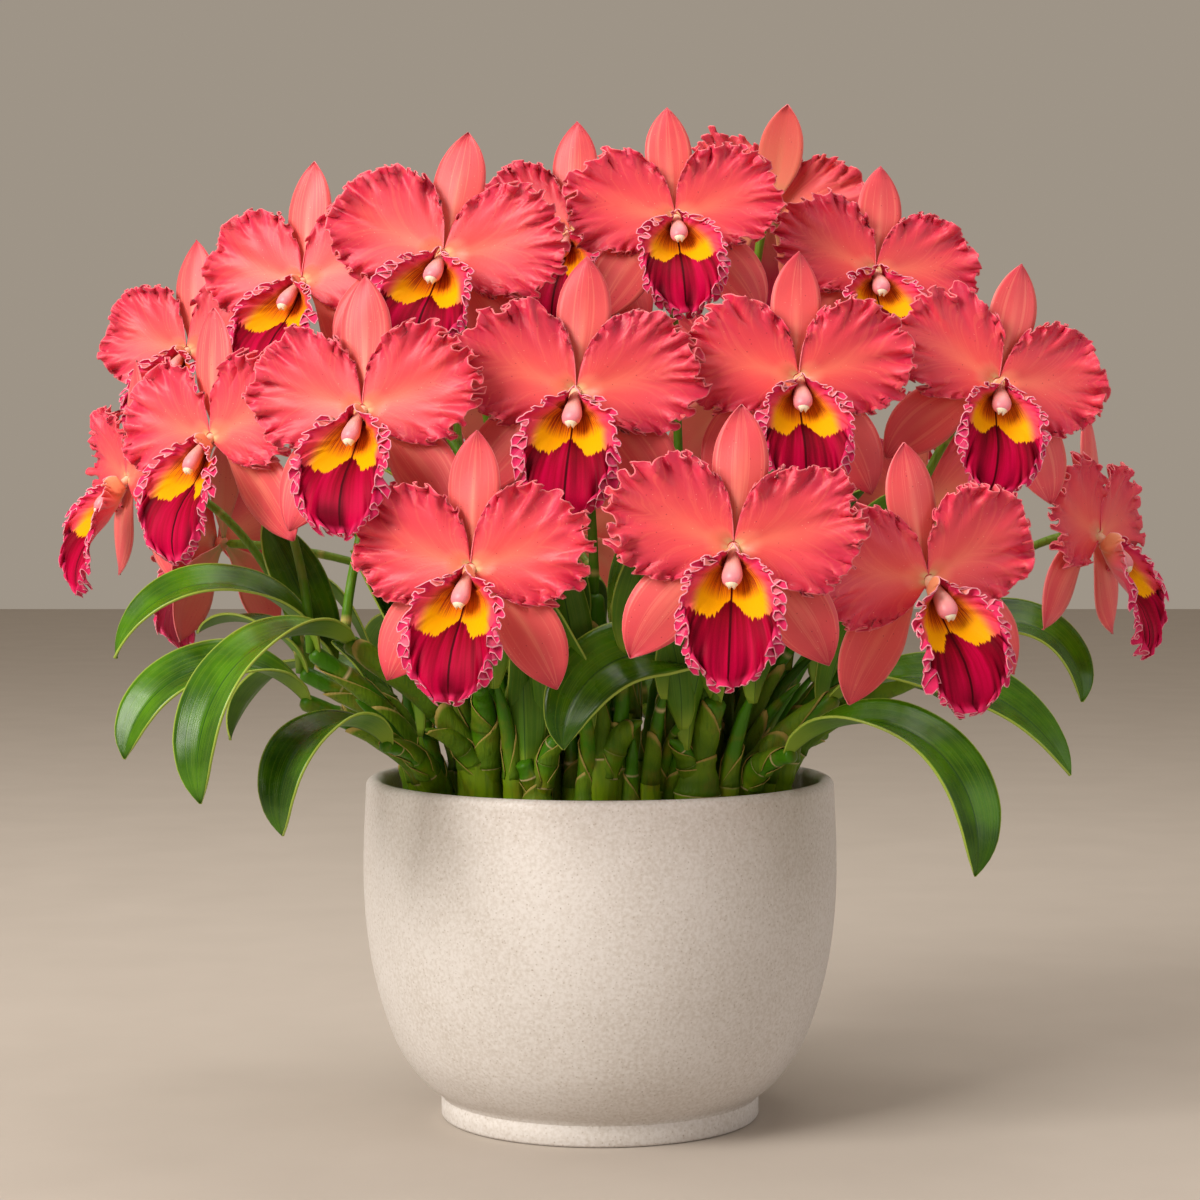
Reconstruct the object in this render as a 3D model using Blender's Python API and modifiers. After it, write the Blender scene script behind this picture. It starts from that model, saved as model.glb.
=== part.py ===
"""A cattleya orchid in bloom, in a round stoneware pot.

Metres, +Z up. The origin is the centre of the pot's foot, on the surface that it
stands on, and the plant's best side faces -Y. Each bloom is made facing -Y with its
centre at the origin, and is then turned and carried to its place.
"""

import math
from dataclasses import dataclass

import bmesh
import bpy
import numpy as np
from mathutils import Matrix, Vector

MM = 0.001
GAP = 0.3 * MM  # clearance between pieces that touch

# Pot
POT_HEIGHT = 187 * MM
POT_RADIUS = 130 * MM
POT_RIM_RADIUS = 128.5 * MM
POT_FOOT_RADIUS = 87.5 * MM
POT_FOOT_HEIGHT = 12 * MM
POT_WALL = 9 * MM
POT_FLOOR = 13 * MM
POT_SIDES = 30
RIM_ROLL = POT_WALL / 2
# The belly's outline and its hollow's, as shares of the widest radius and of the height
BELLY = ((1.0, 0.74), (0.985, 0.55), (0.94, 0.38), (0.86, 0.22), (0.76, 0.12))
HOLLOW = ((0.81, 0.26), (0.905, 0.50))
FOOT_CHAMFER = 1.5 * MM

# Bark
BARK_TOP = 168 * MM
BARK_BOTTOM = 96 * MM
BARK_RELIEF = 1.9 * MM
BARK_MOUND = 4 * MM
BARK_SIDES = 16
BARK_RINGS = 4
CHIP_PITCH = (30 * MM, 33 * MM)  # how far apart the bark's small bumps lie, along X and Y
DIP_PITCH = (65 * MM, 48 * MM)  # and its broad ones

# Bloom, at size 1, which is about 130 mm across
HUB_RADIUS = 5.2 * MM
HUB_FRONT = 4.5 * MM
HUB_BACK = 5.0 * MM
ROOT = 3.0 * MM  # how far from the centre each petal and sepal starts
PETAL_LENGTH = 66 * MM
PETAL_AXIS = math.radians(17.5)
PETAL_FAN = math.radians(67)
PETAL_FULLNESS = (0.65, 0.45)  # below the midrib and above it: less is fuller
PETAL_WAVE = 2.6 * MM
PETAL_SCALLOP = 0.03
PETAL_KEEL = 2.0 * MM
PETAL_SWAY = math.radians(3)
PETAL_POINTS = 16
PETAL_THICKNESS = 0.8 * MM
PETAL_DEPTH = -1.0 * MM
SEPAL_DEPTH = 4.0 * MM
SEPAL_THICKNESS = 0.9 * MM
SEPAL_ROWS = ((0.0, 0.13), (0.44, 0.88), (0.84, 0.80), (1.0, 0.0))  # share of length, of width
DORSAL_LENGTH = 71 * MM
DORSAL_WIDTH = 28 * MM
DORSAL_RECURVE = 5 * MM
LATERAL_LENGTH = 77 * MM
LATERAL_WIDTH = 34 * MM
LATERAL_RECURVE = 4 * MM
SEPAL_DISH = 1.5 * MM
LIP_THICKNESS = 0.8 * MM
LIP_RUFFLE = 1.5 * MM
LIP_CELLS = (4, 5)  # across, along
COLUMN_PITCH = math.radians(41)
COLUMN_LENGTH = 27 * MM
# How far along the column, and how thick it is there
COLUMN_SHAPE = ((0.0, 3.0 * MM), (0.45, 3.6 * MM), (0.78, 5.2 * MM), (1.0, 2.6 * MM))

# How far along the lip, how far forward, how high, half its width, and how far each half curls up
LIP_STATIONS = (
    (0.00, 5.4 * MM, -11.4 * MM, 14.5 * MM, math.radians(150)),
    (0.14, 8.3 * MM, -17.0 * MM, 19.0 * MM, math.radians(100)),
    (0.28, 14.0 * MM, -24.5 * MM, 23.5 * MM, math.radians(77)),
    (0.42, 21.3 * MM, -31.0 * MM, 25.5 * MM, math.radians(57)),
    (0.56, 28.3 * MM, -38.3 * MM, 26.5 * MM, math.radians(37)),
    (0.70, 33.3 * MM, -47.5 * MM, 25.5 * MM, math.radians(15)),
    (0.85, 35.3 * MM, -57.8 * MM, 20.5 * MM, math.radians(2)),
    (1.00, 33.0 * MM, -68.0 * MM, 8.0 * MM, math.radians(-10)),
)

# Leaves and stems
LEAF_THICKNESS = 1.7 * MM
LEAF_STEPS = 48
LEAF_CELLS = 5
LEAF_STALK = 3.2 * MM  # half a leaf's width where it leaves its cane
LEAF_FOLD = (math.radians(38), math.radians(16))  # how far each half rises, at the base and further out
PEDUNCLE_RADIUS = 2.9 * MM
PEDICEL_RADIUS = 2.3 * MM
FOOT_DEPTH = 12 * MM
OVERLAP = 4 * MM  # how deep a leaf or a flower stem sits in its cane
# How far up a cane, and how thick it is there as a share of its girth
FIRST_CANE_SHAPE = ((0.06, 0.86), (0.20, 1.0), (0.34, 0.88), (0.46, 0.62), (0.72, 0.58), (1.0, 0.50))
LATER_CANE_SHAPE = ((0.0, 0.55), (0.25, 0.95), (0.50, 0.9), (0.75, 0.62), (1.0, 0.50))
BUD_TIP = 0.15

CORAL = (0.90, 0.16, 0.17, 1)
CRIMSON = (0.55, 0.01, 0.09, 1)
GREEN = (0.13, 0.27, 0.03, 1)
BROWN = (0.12, 0.06, 0.03, 1)
STONEWARE = (0.62, 0.55, 0.47, 1)


@dataclass
class Bloom:
    """One flower: its place in mm, its turn, nod and lean in degrees, and its size."""

    x: float
    y: float
    z: float
    turn: float
    nod: float = 0
    lean: float = 0
    size: float = 1.0

    def matrix(self):
        place = Matrix.Translation(Vector((self.x, self.y, self.z)) * MM)
        turned = Matrix.Rotation(math.radians(self.turn), 4, "Z")
        nodded = Matrix.Rotation(math.radians(self.nod), 4, "X")
        leant = Matrix.Rotation(math.radians(self.lean), 4, "Y")
        return place @ turned @ nodded @ leant @ Matrix.Scale(self.size, 4)


BLOOMS = {
    "01": Bloom(-63, -178, 307, -14, 0, 2, 0.95),
    "02": Bloom(64, -203, 318, -3, 0, 2, 0.97),
    "03": Bloom(162, -163, 301, 22, 2, -8, 0.96),
    "04": Bloom(-119, -135, 385, -18, -4, -3, 0.97),
    "05": Bloom(-12, -140, 394, -4, -4, 3, 0.98),
    "06": Bloom(100, -125, 401, 7, -4, 3, 0.92),
    "07": Bloom(205, -92, 400, 12, -3, 15, 0.92),
    "08": Bloom(-203, -75, 372, -35, 0, -4, 0.96),
    "09": Bloom(-260, 10, 350, -62, 2, 0, 0.92),
    "10": Bloom(-236, 75, 423, -28, -6, -6, 0.94),
    "11": Bloom(-163, 5, 458, -25, -8, 0, 0.97),
    "12": Bloom(-82, -70, 467, -8, -10, 7, 0.99),
    "13": Bloom(-17, 35, 487, -14, -8, 0, 0.92),
    "14": Bloom(40, -50, 488, 3, -12, -2, 0.90),
    "15": Bloom(149, -12, 462, 12, -12, 8, 0.90),
    "16": Bloom(96, 55, 499, 165, -14, -12, 0.90),
    "17": Bloom(273, 0, 319, 58, 2, 4, 0.95),
    "18": Bloom(-224, 116, 312, -125, 0, 0, 0.92),
    "19": Bloom(-20, 195, 318, 178, 0, 0, 0.98),
    "20": Bloom(190, 128, 332, 132, 0, 0, 0.98),
    "21": Bloom(-95, 142, 410, -160, -6, 0, 0.98),
    "22": Bloom(92, 142, 405, 162, -6, 0, 0.98),
}


@dataclass
class Leaf:
    """A leaf: its heading and how far that turns, its slopes at base and tip, its size in mm, and its roll."""

    heading: float
    turn: float
    rise: float
    fall: float
    length: float
    width: float
    roll: float = 0


@dataclass
class Cane:
    """A pseudobulb: its top and girth in mm, and the leaves and blooms that it carries."""

    top: tuple
    girth: float
    leaves: tuple = ()
    blooms: tuple = ()


@dataclass
class Growth:
    """Canes that rise from one foot in the bark. The first is the oldest, and the others break from it."""

    foot: tuple
    canes: tuple


GROWTHS = {
    "01": Growth(
        (-94, -30),
        (
            Cane((-154, -52, 259), 9, (Leaf(185, 5, 70, -75, 140, 42, -25),), ("08",)),
            Cane((-150, -20, 248), 7, (Leaf(180, -20, 75, 55, 90, 42, -50),)),
        ),
    ),
    "02": Growth(
        (-84, -56),
        (
            Cane((-155, -95, 236), 9, (Leaf(195, 5, 50, -85, 125, 48, -30),)),
            Cane((-111, -112, 214), 7, (Leaf(220, 15, 45, -110, 110, 48),)),
        ),
    ),
    "03": Growth(
        (-58, -78),
        (
            Cane((-130, -115, 268), 10, (Leaf(220, 10, 25, -105, 150, 56),), ("04",)),
            Cane((-62, -112, 244), 8, (), ("01",)),
            Cane((-90, -108, 222), 6),
        ),
    ),
    "04": Growth(
        (-32, -92),
        (
            Cane((-40, -98, 205), 9, (Leaf(260, 0, 85, 80, 55, 30),)),
            Cane((-18, -108, 220), 6),
        ),
    ),
    "05": Growth((0, -88), (Cane((-3, -90, 292), 10, (), ("05",)), Cane((22, -102, 226), 7))),
    "06": Growth(
        (50, -82),
        (
            Cane((60, -97, 237), 12, (Leaf(210, -10, 65, -95, 125, 56, -45),), ("02", "06")),
            Cane((36, -104, 216), 6),
        ),
    ),
    "07": Growth(
        (72, -64),
        (
            Cane((124, -84, 237), 9, (Leaf(-15, 0, 30, -65, 145, 48, 30),)),
            Cane((100, -100, 208), 8, (Leaf(-25, -15, 45, -105, 160, 54, 15),)),
        ),
    ),
    "08": Growth((92, -34), (Cane((146, -62, 262), 11, (), ("03", "07")),)),
    "09": Growth(
        (94, 14),
        (
            Cane((190, 8, 248), 10, (Leaf(-10, -5, 65, -95, 115, 46, 30),), ("17",)),
            Cane((128, 50, 206), 7, (Leaf(20, 0, 60, -55, 105, 40),)),
        ),
    ),
    "10": Growth((-34, -30), (Cane((-50, -24, 285), 11, (Leaf(165, 0, 80, 10, 110, 42, -30),), ("11", "12")),)),
    "11": Growth((36, -28), (Cane((44, -18, 290), 11, (Leaf(15, 0, 80, 10, 110, 42, 30),), ("14", "15")),)),
    "12": Growth(
        (-92, 24),
        (
            Cane((-167, 22, 243), 9, (Leaf(165, 0, 70, -35, 80, 40),), ("09", "10")),
            Cane((-128, 62, 222), 7, (Leaf(150, 10, 50, -80, 130, 44),)),
        ),
    ),
    "13": Growth(
        (-50, 74),
        (
            Cane((-82, 104, 248), 10, (Leaf(125, -10, 45, -85, 150, 52),), ("18", "21", "13")),
            Cane((-24, 112, 212), 8, (Leaf(100, 10, 45, -100, 120, 46),)),
        ),
    ),
    "14": Growth(
        (50, 74),
        (
            Cane((80, 100, 248), 10, (Leaf(50, 10, 45, -85, 150, 52),), ("20", "22", "16")),
            Cane((26, 112, 214), 8, (Leaf(75, -5, 50, -100, 120, 46),), ("19",)),
        ),
    ),
}


def clear_scene():
    for old in list(bpy.data.objects):
        bpy.data.objects.remove(old, do_unlink=True)


def collection(name):
    made = bpy.data.collections.new(name)
    bpy.context.scene.collection.children.link(made)
    return made


def material(name, colour, roughness):
    made = bpy.data.materials.new(name)
    made.use_nodes = True
    shader = made.node_tree.nodes["Principled BSDF"]
    shader.inputs["Base Color"].default_value = colour
    shader.inputs["Roughness"].default_value = roughness
    shader.inputs["Metallic"].default_value = 0
    return made


def place(name, mesh, home):
    """An object that holds the mesh, in the collection."""
    made = bpy.data.objects.new(name, mesh)
    home.objects.link(made)
    return made


def baked(obj):
    """The object with its modifiers applied and its mesh in world space."""
    bpy.context.view_layer.update()
    graph = bpy.context.evaluated_depsgraph_get()
    mesh = bpy.data.meshes.new_from_object(obj.evaluated_get(graph))
    mesh.transform(obj.matrix_world)
    home = obj.users_collection[0]
    name = obj.name
    bpy.data.objects.remove(obj, do_unlink=True)
    return place(name, mesh, home)


def smoothstep(low, high, value):
    t = min(max((value - low) / (high - low), 0), 1)
    return t * t * (3 - 2 * t)


def along_spline(stations, at):
    """The values at a place along a smooth curve through the stations, whose first value is the place."""
    rows = np.array(stations)
    at = min(max(at, rows[0, 0]), rows[-1, 0])
    i = min(int(np.searchsorted(rows[:, 0], at, side="right")) - 1, len(rows) - 2)
    t = (at - rows[i, 0]) / (rows[i + 1, 0] - rows[i, 0])
    before = rows[max(i - 1, 0), 1:]
    after = rows[min(i + 2, len(rows) - 1), 1:]
    start, end = rows[i, 1:], rows[i + 1, 1:]
    slope_in, slope_out = (end - before) / 2, (after - start) / 2
    return (
        (2 * t**3 - 3 * t**2 + 1) * start
        + (t**3 - 2 * t**2 + t) * slope_in
        + (3 * t**2 - 2 * t**3) * end
        + (t**3 - t**2) * slope_out
    )


def shell(name, mesh, thickness, home):
    """A thin surface, split into triangles so that both faces fold alike, given its thickness."""
    surface = bmesh.new()
    surface.from_mesh(mesh)
    bmesh.ops.remove_doubles(surface, verts=surface.verts, dist=0.02 * MM)
    bmesh.ops.triangulate(surface, faces=surface.faces, quad_method="SHORT_EDGE")
    bmesh.ops.recalc_face_normals(surface, faces=surface.faces)
    surface.to_mesh(mesh)
    surface.free()
    made = place(name, mesh, home)
    solid = made.modifiers.new("thickness", "SOLIDIFY")
    solid.thickness = thickness
    solid.offset = 0
    solid.use_even_offset = False
    return baked(made)


def blade(name, across, along, point, thickness, home):
    """A strap-shaped shell: point(s, t) gives the place at s from base to tip and t from side to side."""
    grid = bmesh.new()
    bmesh.ops.create_grid(grid, x_segments=across, y_segments=along, size=1)
    for vert in grid.verts:
        vert.co = point((vert.co.y + 1) / 2, vert.co.x)
    mesh = bpy.data.meshes.new(name)
    grid.to_mesh(mesh)
    grid.free()
    return shell(name, mesh, thickness, home)


def tube(name, points, radii, home, resolution=1):
    """A round stem along the points, as thick at each as the radii say."""
    curve = bpy.data.curves.new(name, "CURVE")
    curve.dimensions = "3D"
    curve.bevel_depth = 1
    curve.bevel_resolution = resolution
    curve.use_fill_caps = True
    spline = curve.splines.new("POLY")
    spline.points.add(len(points) - 1)
    for knot, point, radius in zip(spline.points, points, radii):
        knot.co = (*point, 1)
        knot.radius = radius
    made = baked(place(name, curve, home))
    welded = bmesh.new()
    welded.from_mesh(made.data)
    bmesh.ops.remove_doubles(welded, verts=welded.verts, dist=0.02 * MM)
    bmesh.ops.recalc_face_normals(welded, faces=welded.faces)
    welded.to_mesh(made.data)
    welded.free()
    return made


def joined(name, first, others, operation):
    """The first solid with the others added or cut away, by one Boolean on a collection of them."""
    if others:
        group = collection("group")
        for other in others:
            other.users_collection[0].objects.unlink(other)
            group.objects.link(other)
        boolean = first.modifiers.new("boolean", "BOOLEAN")
        boolean.operation = operation
        boolean.operand_type = "COLLECTION"
        boolean.collection = group
        first = baked(first)
        for other in others:
            bpy.data.objects.remove(other, do_unlink=True)
        bpy.data.collections.remove(group)
    first.name = name
    first.data.name = name
    return first


def dressed(obj, finish, home):
    """The finished node: smooth shaded, with its material, in the object's own collection."""
    for old in list(obj.users_collection):
        old.objects.unlink(obj)
    home.objects.link(obj)
    obj.data.materials.clear()
    obj.data.materials.append(finish)
    obj.data.shade_smooth()
    obj.data.set_sharp_from_angle(angle=math.radians(50))
    return obj


def pot(home):
    """The stoneware pot: a bulging bowl on a short foot, turned from its outline."""
    outer = [
        (POT_RIM_RADIUS - RIM_ROLL, POT_HEIGHT),
        (POT_RIM_RADIUS - RIM_ROLL / 4, POT_HEIGHT - RIM_ROLL * 0.4),
        (POT_RIM_RADIUS, POT_HEIGHT - RIM_ROLL * 1.4),
        *[(POT_RADIUS * wide, POT_HEIGHT * high) for wide, high in BELLY],
        (POT_FOOT_RADIUS, POT_FOOT_HEIGHT),
        (POT_FOOT_RADIUS, FOOT_CHAMFER),
        (POT_FOOT_RADIUS - FOOT_CHAMFER, 0),
        (0, 0),
    ]
    lip_edge = (POT_RIM_RADIUS - RIM_ROLL * 1.8, POT_HEIGHT - RIM_ROLL * 0.4)
    outline = [*outer, (0, POT_FLOOR), *inside_wall(), lip_edge]
    profile = bmesh.new()
    verts = [profile.verts.new((r, 0, z)) for r, z in outline]
    for a, b in zip(verts, [*verts[1:], verts[0]]):
        if a.co.x > 0 or b.co.x > 0:
            profile.edges.new((a, b))
    mesh = bpy.data.meshes.new("pot")
    profile.to_mesh(mesh)
    profile.free()
    made = place("pot", mesh, home)
    screw = made.modifiers.new("turn", "SCREW")
    screw.axis = "Z"
    screw.steps = screw.render_steps = POT_SIDES
    screw.use_merge_vertices = True
    screw.merge_threshold = 0.05 * MM
    return made


def inside_wall():
    """The pot's inner outline, from its floor to its rim, as radius and height."""
    return [
        (POT_RADIUS * 0.62, POT_FLOOR),
        *[(POT_RADIUS * wide, POT_HEIGHT * high) for wide, high in HOLLOW],
        (POT_RADIUS - POT_WALL, POT_HEIGHT * BELLY[0][1]),
        (POT_RIM_RADIUS - POT_WALL, POT_HEIGHT - POT_WALL),
    ]


def wall_radius(height):
    """The radius of the pot's inside at a height."""
    rows = np.array(inside_wall())
    return float(np.interp(height, rows[:, 1], rows[:, 0]))


def bark_height(x, y):
    """The top of the bark, uneven with chips and a little higher in the middle."""
    chips = math.sin(math.tau * x / CHIP_PITCH[0] + 1.3) * math.cos(math.tau * y / CHIP_PITCH[1] - 0.4)
    dips = 0.6 * math.sin(math.tau * x / DIP_PITCH[0] - math.tau * y / DIP_PITCH[1])
    mound = BARK_MOUND * (1 - (x * x + y * y) / POT_RADIUS**2)
    return BARK_TOP + mound + BARK_RELIEF * (chips + dips)


def bark(home, cutters):
    """The bark that fills the pot, with a plain hole for each growth's foot."""
    body = bmesh.new()
    bmesh.ops.create_circle(body, cap_ends=True, cap_tris=True, segments=BARK_SIDES, radius=1)
    for _ in range(1, BARK_RINGS):
        middle = [f for f in body.faces if any(v.co.length < 0.001 for v in f.verts)]
        bmesh.ops.inset_region(body, faces=middle, thickness=1 / BARK_RINGS, use_even_offset=False)
    flat_sides = math.cos(math.pi / POT_SIDES)
    top_radius = wall_radius(BARK_TOP) * flat_sides - GAP
    for vert in body.verts:
        vert.co *= top_radius
        vert.co.z = bark_height(vert.co.x, vert.co.y)
    rim = [e for e in body.edges if e.is_boundary]
    for height in (POT_HEIGHT * BELLY[0][1], POT_HEIGHT * HOLLOW[1][1], BARK_BOTTOM):
        grown = bmesh.ops.extrude_edge_only(body, edges=rim)["geom"]
        rim = [e for e in grown if isinstance(e, bmesh.types.BMEdge) and e.is_boundary]
        reach = wall_radius(height) * flat_sides - GAP
        for vert in (v for v in grown if isinstance(v, bmesh.types.BMVert)):
            flat = Vector((vert.co.x, vert.co.y, 0)).normalized() * reach
            vert.co = (flat.x, flat.y, height)
    bmesh.ops.holes_fill(body, edges=rim, sides=0)
    bmesh.ops.triangulate(body, faces=body.faces)
    bmesh.ops.recalc_face_normals(body, faces=body.faces)
    mesh = bpy.data.meshes.new("bark")
    body.to_mesh(mesh)
    body.free()
    return joined("bark", place("bark", mesh, home), cutters, "DIFFERENCE")


def petal_point(ray, reach, cup, droop):
    """A place on the right petal: ray from its lower to its upper edge, reach from its base to its margin."""
    fullness = PETAL_FULLNESS[ray > 0]
    fold = math.cos(math.pi * PETAL_POINTS * (ray + 1) / 2) * smoothstep(0.5, 1, reach)
    length = reach * PETAL_LENGTH * max(math.cos(ray * math.pi / 2), 0) ** fullness * (1 - PETAL_SCALLOP * fold)
    length = max(length, ROOT)
    angle = PETAL_AXIS + droop + ray * PETAL_FAN
    wave = PETAL_WAVE * fold
    keel = PETAL_KEEL * math.exp(-((ray * 3) ** 2)) * 4 * reach * (1 - reach)
    back = PETAL_DEPTH + cup * reach * reach + wave + keel
    return Vector((length * math.cos(angle), back, length * math.sin(angle)))


def petal(name, side, cup, droop, home):
    """One petal: a round fan with a folded margin, from a disc whose topmost point is the petal's base."""
    disc = bmesh.new()
    bmesh.ops.create_circle(disc, cap_ends=True, cap_tris=True, segments=PETAL_POINTS, radius=1)
    start = Vector((0, 1, 0))
    for vert in disc.verts:
        chord = vert.co - start
        ray = math.atan2(chord.x, -chord.y) if chord.length > 1e-6 else 0
        whole = 2 * math.cos(ray)
        reach = chord.length / whole if whole > 1e-6 else 0
        spot = petal_point(ray / (math.pi / 2), min(reach, 1), cup, droop)
        vert.co = (spot.x * side, spot.y, spot.z)
    mesh = bpy.data.meshes.new(name)
    disc.to_mesh(mesh)
    disc.free()
    return shell(name, mesh, PETAL_THICKNESS, home)


def sepal(name, length, width, heading, bend, recurve, home):
    """One sepal: a broad-tipped strap that sets off at its heading and bends, with its tip curved back."""

    def point(share, t):
        s, broad = SEPAL_ROWS[round(share * (len(SEPAL_ROWS) - 1))]
        turned = bend * s
        chord = math.sin(turned / 2) / (turned / 2) if abs(turned) > 1e-6 else 1
        mid = heading + turned / 2
        aim = heading + turned
        half = width / 2 * broad
        run = ROOT + (length - ROOT) * s * chord
        x = run * math.cos(mid) - half * t * math.sin(aim)
        z = run * math.sin(mid) + half * t * math.cos(aim)
        back = SEPAL_DEPTH + recurve * s**2 + SEPAL_DISH * t * t * math.sin(math.pi * s)
        return Vector((x, back, z))

    return blade(name, 2, len(SEPAL_ROWS) - 1, point, SEPAL_THICKNESS, home)


def lip_point(v, w):
    """A place on the lip: v from its base to its tip, w from side to side."""
    forward, height, half, curl = along_spline(LIP_STATIONS, v)
    ahead = along_spline(LIP_STATIONS, min(v + 0.02, 1))
    behind = along_spline(LIP_STATIONS, max(v - 0.02, 0))
    run = Vector((0, -(ahead[0] - behind[0]), ahead[1] - behind[1])).normalized()
    inward = Vector((0, run.z, -run.y))
    curl = curl if abs(curl) > 1e-3 else 1e-3
    radius = half / curl
    spot = Vector((radius * math.sin(curl * w), -forward, height))
    return spot + inward * radius * (1 - math.cos(curl * w)), inward


def lip(name, home):
    """The lip: a tube rolled round the column that opens into a broad ruffled front lobe."""
    grid = bmesh.new()
    bmesh.ops.create_grid(grid, x_segments=LIP_CELLS[0], y_segments=LIP_CELLS[1], size=1)
    for vert in grid.verts:
        v, w = (vert.co.y + 1) / 2, vert.co.x
        step = round((w + 1) / 2 * LIP_CELLS[0]) + round(v * LIP_CELLS[1])
        spot, inward = lip_point(v, w)
        margin = max(smoothstep(0.7, 1, abs(w)) * smoothstep(0, 0.25, v), smoothstep(0.85, 1, v))
        vert.co = spot + inward * LIP_RUFFLE * margin * (-1) ** step
    mesh = bpy.data.meshes.new(name)
    grid.to_mesh(mesh)
    grid.free()
    return shell(name, mesh, LIP_THICKNESS, home)


def tepals(name, number, home):
    """The three sepals, two petals and the column of one bloom, grown together at its centre."""
    sway = math.sin(2.4 * number)
    other = math.cos(3.7 * number)
    hub = bmesh.new()
    depth = HUB_FRONT + HUB_BACK
    bmesh.ops.create_cone(hub, cap_ends=True, segments=6, radius1=HUB_RADIUS, radius2=HUB_RADIUS, depth=depth)
    bmesh.ops.rotate(hub, verts=hub.verts, matrix=Matrix.Rotation(math.pi / 2, 3, "X"))
    bmesh.ops.translate(hub, verts=hub.verts, vec=(0, (HUB_BACK - HUB_FRONT) / 2, 0))
    mesh = bpy.data.meshes.new(name)
    hub.to_mesh(mesh)
    hub.free()
    pieces = [place(name, mesh, home)]
    for side in (-1, 1):
        cup = other * side * MM
        pieces.append(petal("petal", side, cup, PETAL_SWAY * sway * side, home))
    up = math.radians(90 + 5 * sway)
    recurve = DORSAL_RECURVE * (1 + 0.6 * other)
    pieces.append(sepal("dorsal", DORSAL_LENGTH, DORSAL_WIDTH, up, math.radians(-8 * sway), recurve, home))
    for side in (-1, 1):
        heading = math.radians(-90 + side * (56 + 3 * other))
        bend = math.radians(-side * 33)
        pieces.append(sepal("lateral", LATERAL_LENGTH, LATERAL_WIDTH, heading, bend, LATERAL_RECURVE, home))
    aim = Vector((0, -math.cos(COLUMN_PITCH), -math.sin(COLUMN_PITCH)))
    spots = [aim * COLUMN_LENGTH * share for share, _ in COLUMN_SHAPE]
    pieces.append(tube("column", spots, [radius for _, radius in COLUMN_SHAPE], home))
    return joined(name, pieces[0], pieces[1:], "UNION")


def leaf_line(leaf, start):
    """Points, directions and side vectors along a leaf's midrib, from its base to its tip."""
    spots, ways, sides = [Vector(start)], [], []
    for step in range(LEAF_STEPS + 1):
        s = step / LEAF_STEPS
        heading = math.radians(leaf.heading + leaf.turn * s)
        slope = math.radians(leaf.rise + (leaf.fall - leaf.rise) * s)
        flat = Vector((math.cos(heading), math.sin(heading), 0))
        way = flat * math.cos(slope) + Vector((0, 0, math.sin(slope)))
        side = Vector((math.sin(heading), -math.cos(heading), 0))
        side.rotate(Matrix.Rotation(math.radians(leaf.roll) * smoothstep(0, 0.4, s), 3, way))
        ways.append(way)
        sides.append(side)
        spots.append(spots[-1] + ways[-1] * leaf.length * MM / LEAF_STEPS)
    return spots, ways, sides


def leaf_breadth(s):
    """The share of its full width that a leaf has at s, from 0 at its base to 1 at its tip."""
    return s**0.55 * (1 - s) ** 0.42 / 0.70


def leaf_blade(name, leaf, start, home):
    """One leathery leaf: a strap folded along its midrib, which arches over and hangs."""
    spots, ways, sides = leaf_line(leaf, start)

    def point(s, t):
        step = round(s * LEAF_STEPS)
        half = leaf.width * MM / 2 * leaf_breadth(s) + LEAF_STALK * (1 - s) ** 3
        fold = LEAF_FOLD[0] + (LEAF_FOLD[1] - LEAF_FOLD[0]) * smoothstep(0, 0.5, s)
        up = sides[step].cross(ways[step])
        return spots[step] + half * abs(t) * math.sin(fold) * up + half * t * math.cos(fold) * sides[step]

    return blade(name, 2, LEAF_CELLS, point, LEAF_THICKNESS, home)


def foot_of(growth):
    """The point where a growth stands in the bark."""
    x, y = growth.foot[0] * MM, growth.foot[1] * MM
    return Vector((x, y, bark_height(x, y)))


def arch(start, knee, end, share):
    """A place on the curve that leaves start towards knee and arrives at end."""
    return (1 - share) ** 2 * start + 2 * share * (1 - share) * knee + share**2 * end


def first_cane(growth):
    """Points and radii up the first pseudobulb: a foot in the bark, a swollen body, a ring, and a slim neck."""
    foot = foot_of(growth)
    cane = growth.canes[0]
    top = Vector(cane.top) * MM
    knee = foot + Vector((0, 0, 0.55 * (top.z - foot.z)))
    points = [foot - Vector((0, 0, FOOT_DEPTH))] + [arch(foot, knee, top, s) for s, _ in FIRST_CANE_SHAPE]
    return points, [cane.girth * MM * r for r in (0.6, *[r for _, r in FIRST_CANE_SHAPE])]


def later_cane(growth, cane):
    """Points and radii up a pseudobulb that breaks from the foot of the first."""
    points, _ = first_cane(growth)
    start, top = points[1], Vector(cane.top) * MM
    out = Vector((top.x - start.x, top.y - start.y, 0))
    knee = start + out * 0.2 + Vector((0, 0, 0.9 * (top.z - start.z)))
    radii = [cane.girth * MM * r for _, r in LATER_CANE_SHAPE]
    if not (cane.leaves or cane.blooms):
        radii[-1] = cane.girth * MM * BUD_TIP
    return [arch(start, knee, top, s) for s, _ in LATER_CANE_SHAPE], radii


def stem_line(top, bloom):
    """Points along a flower stem, from a pseudobulb's top to the back of its bloom, which it meets squarely."""
    matrix = bloom.matrix()
    end = matrix @ Vector((0, HUB_BACK + GAP / bloom.size, 0))
    back = (matrix.to_3x3() @ Vector((0, 1, 0))).normalized()
    near = end + back * OVERLAP
    reach = (near - top).length
    first = top + Vector((0, 0, reach * 0.35))
    second = near + back * min(40 * MM, reach * 0.33)
    points = []
    for t in (0, 0.3, 0.65, 1):
        rising = (1 - t) ** 3 * top + 3 * (1 - t) ** 2 * t * first
        arriving = 3 * (1 - t) * t**2 * second + t**3 * near
        points.append(rising + arriving)
    return [*points, end]


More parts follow.
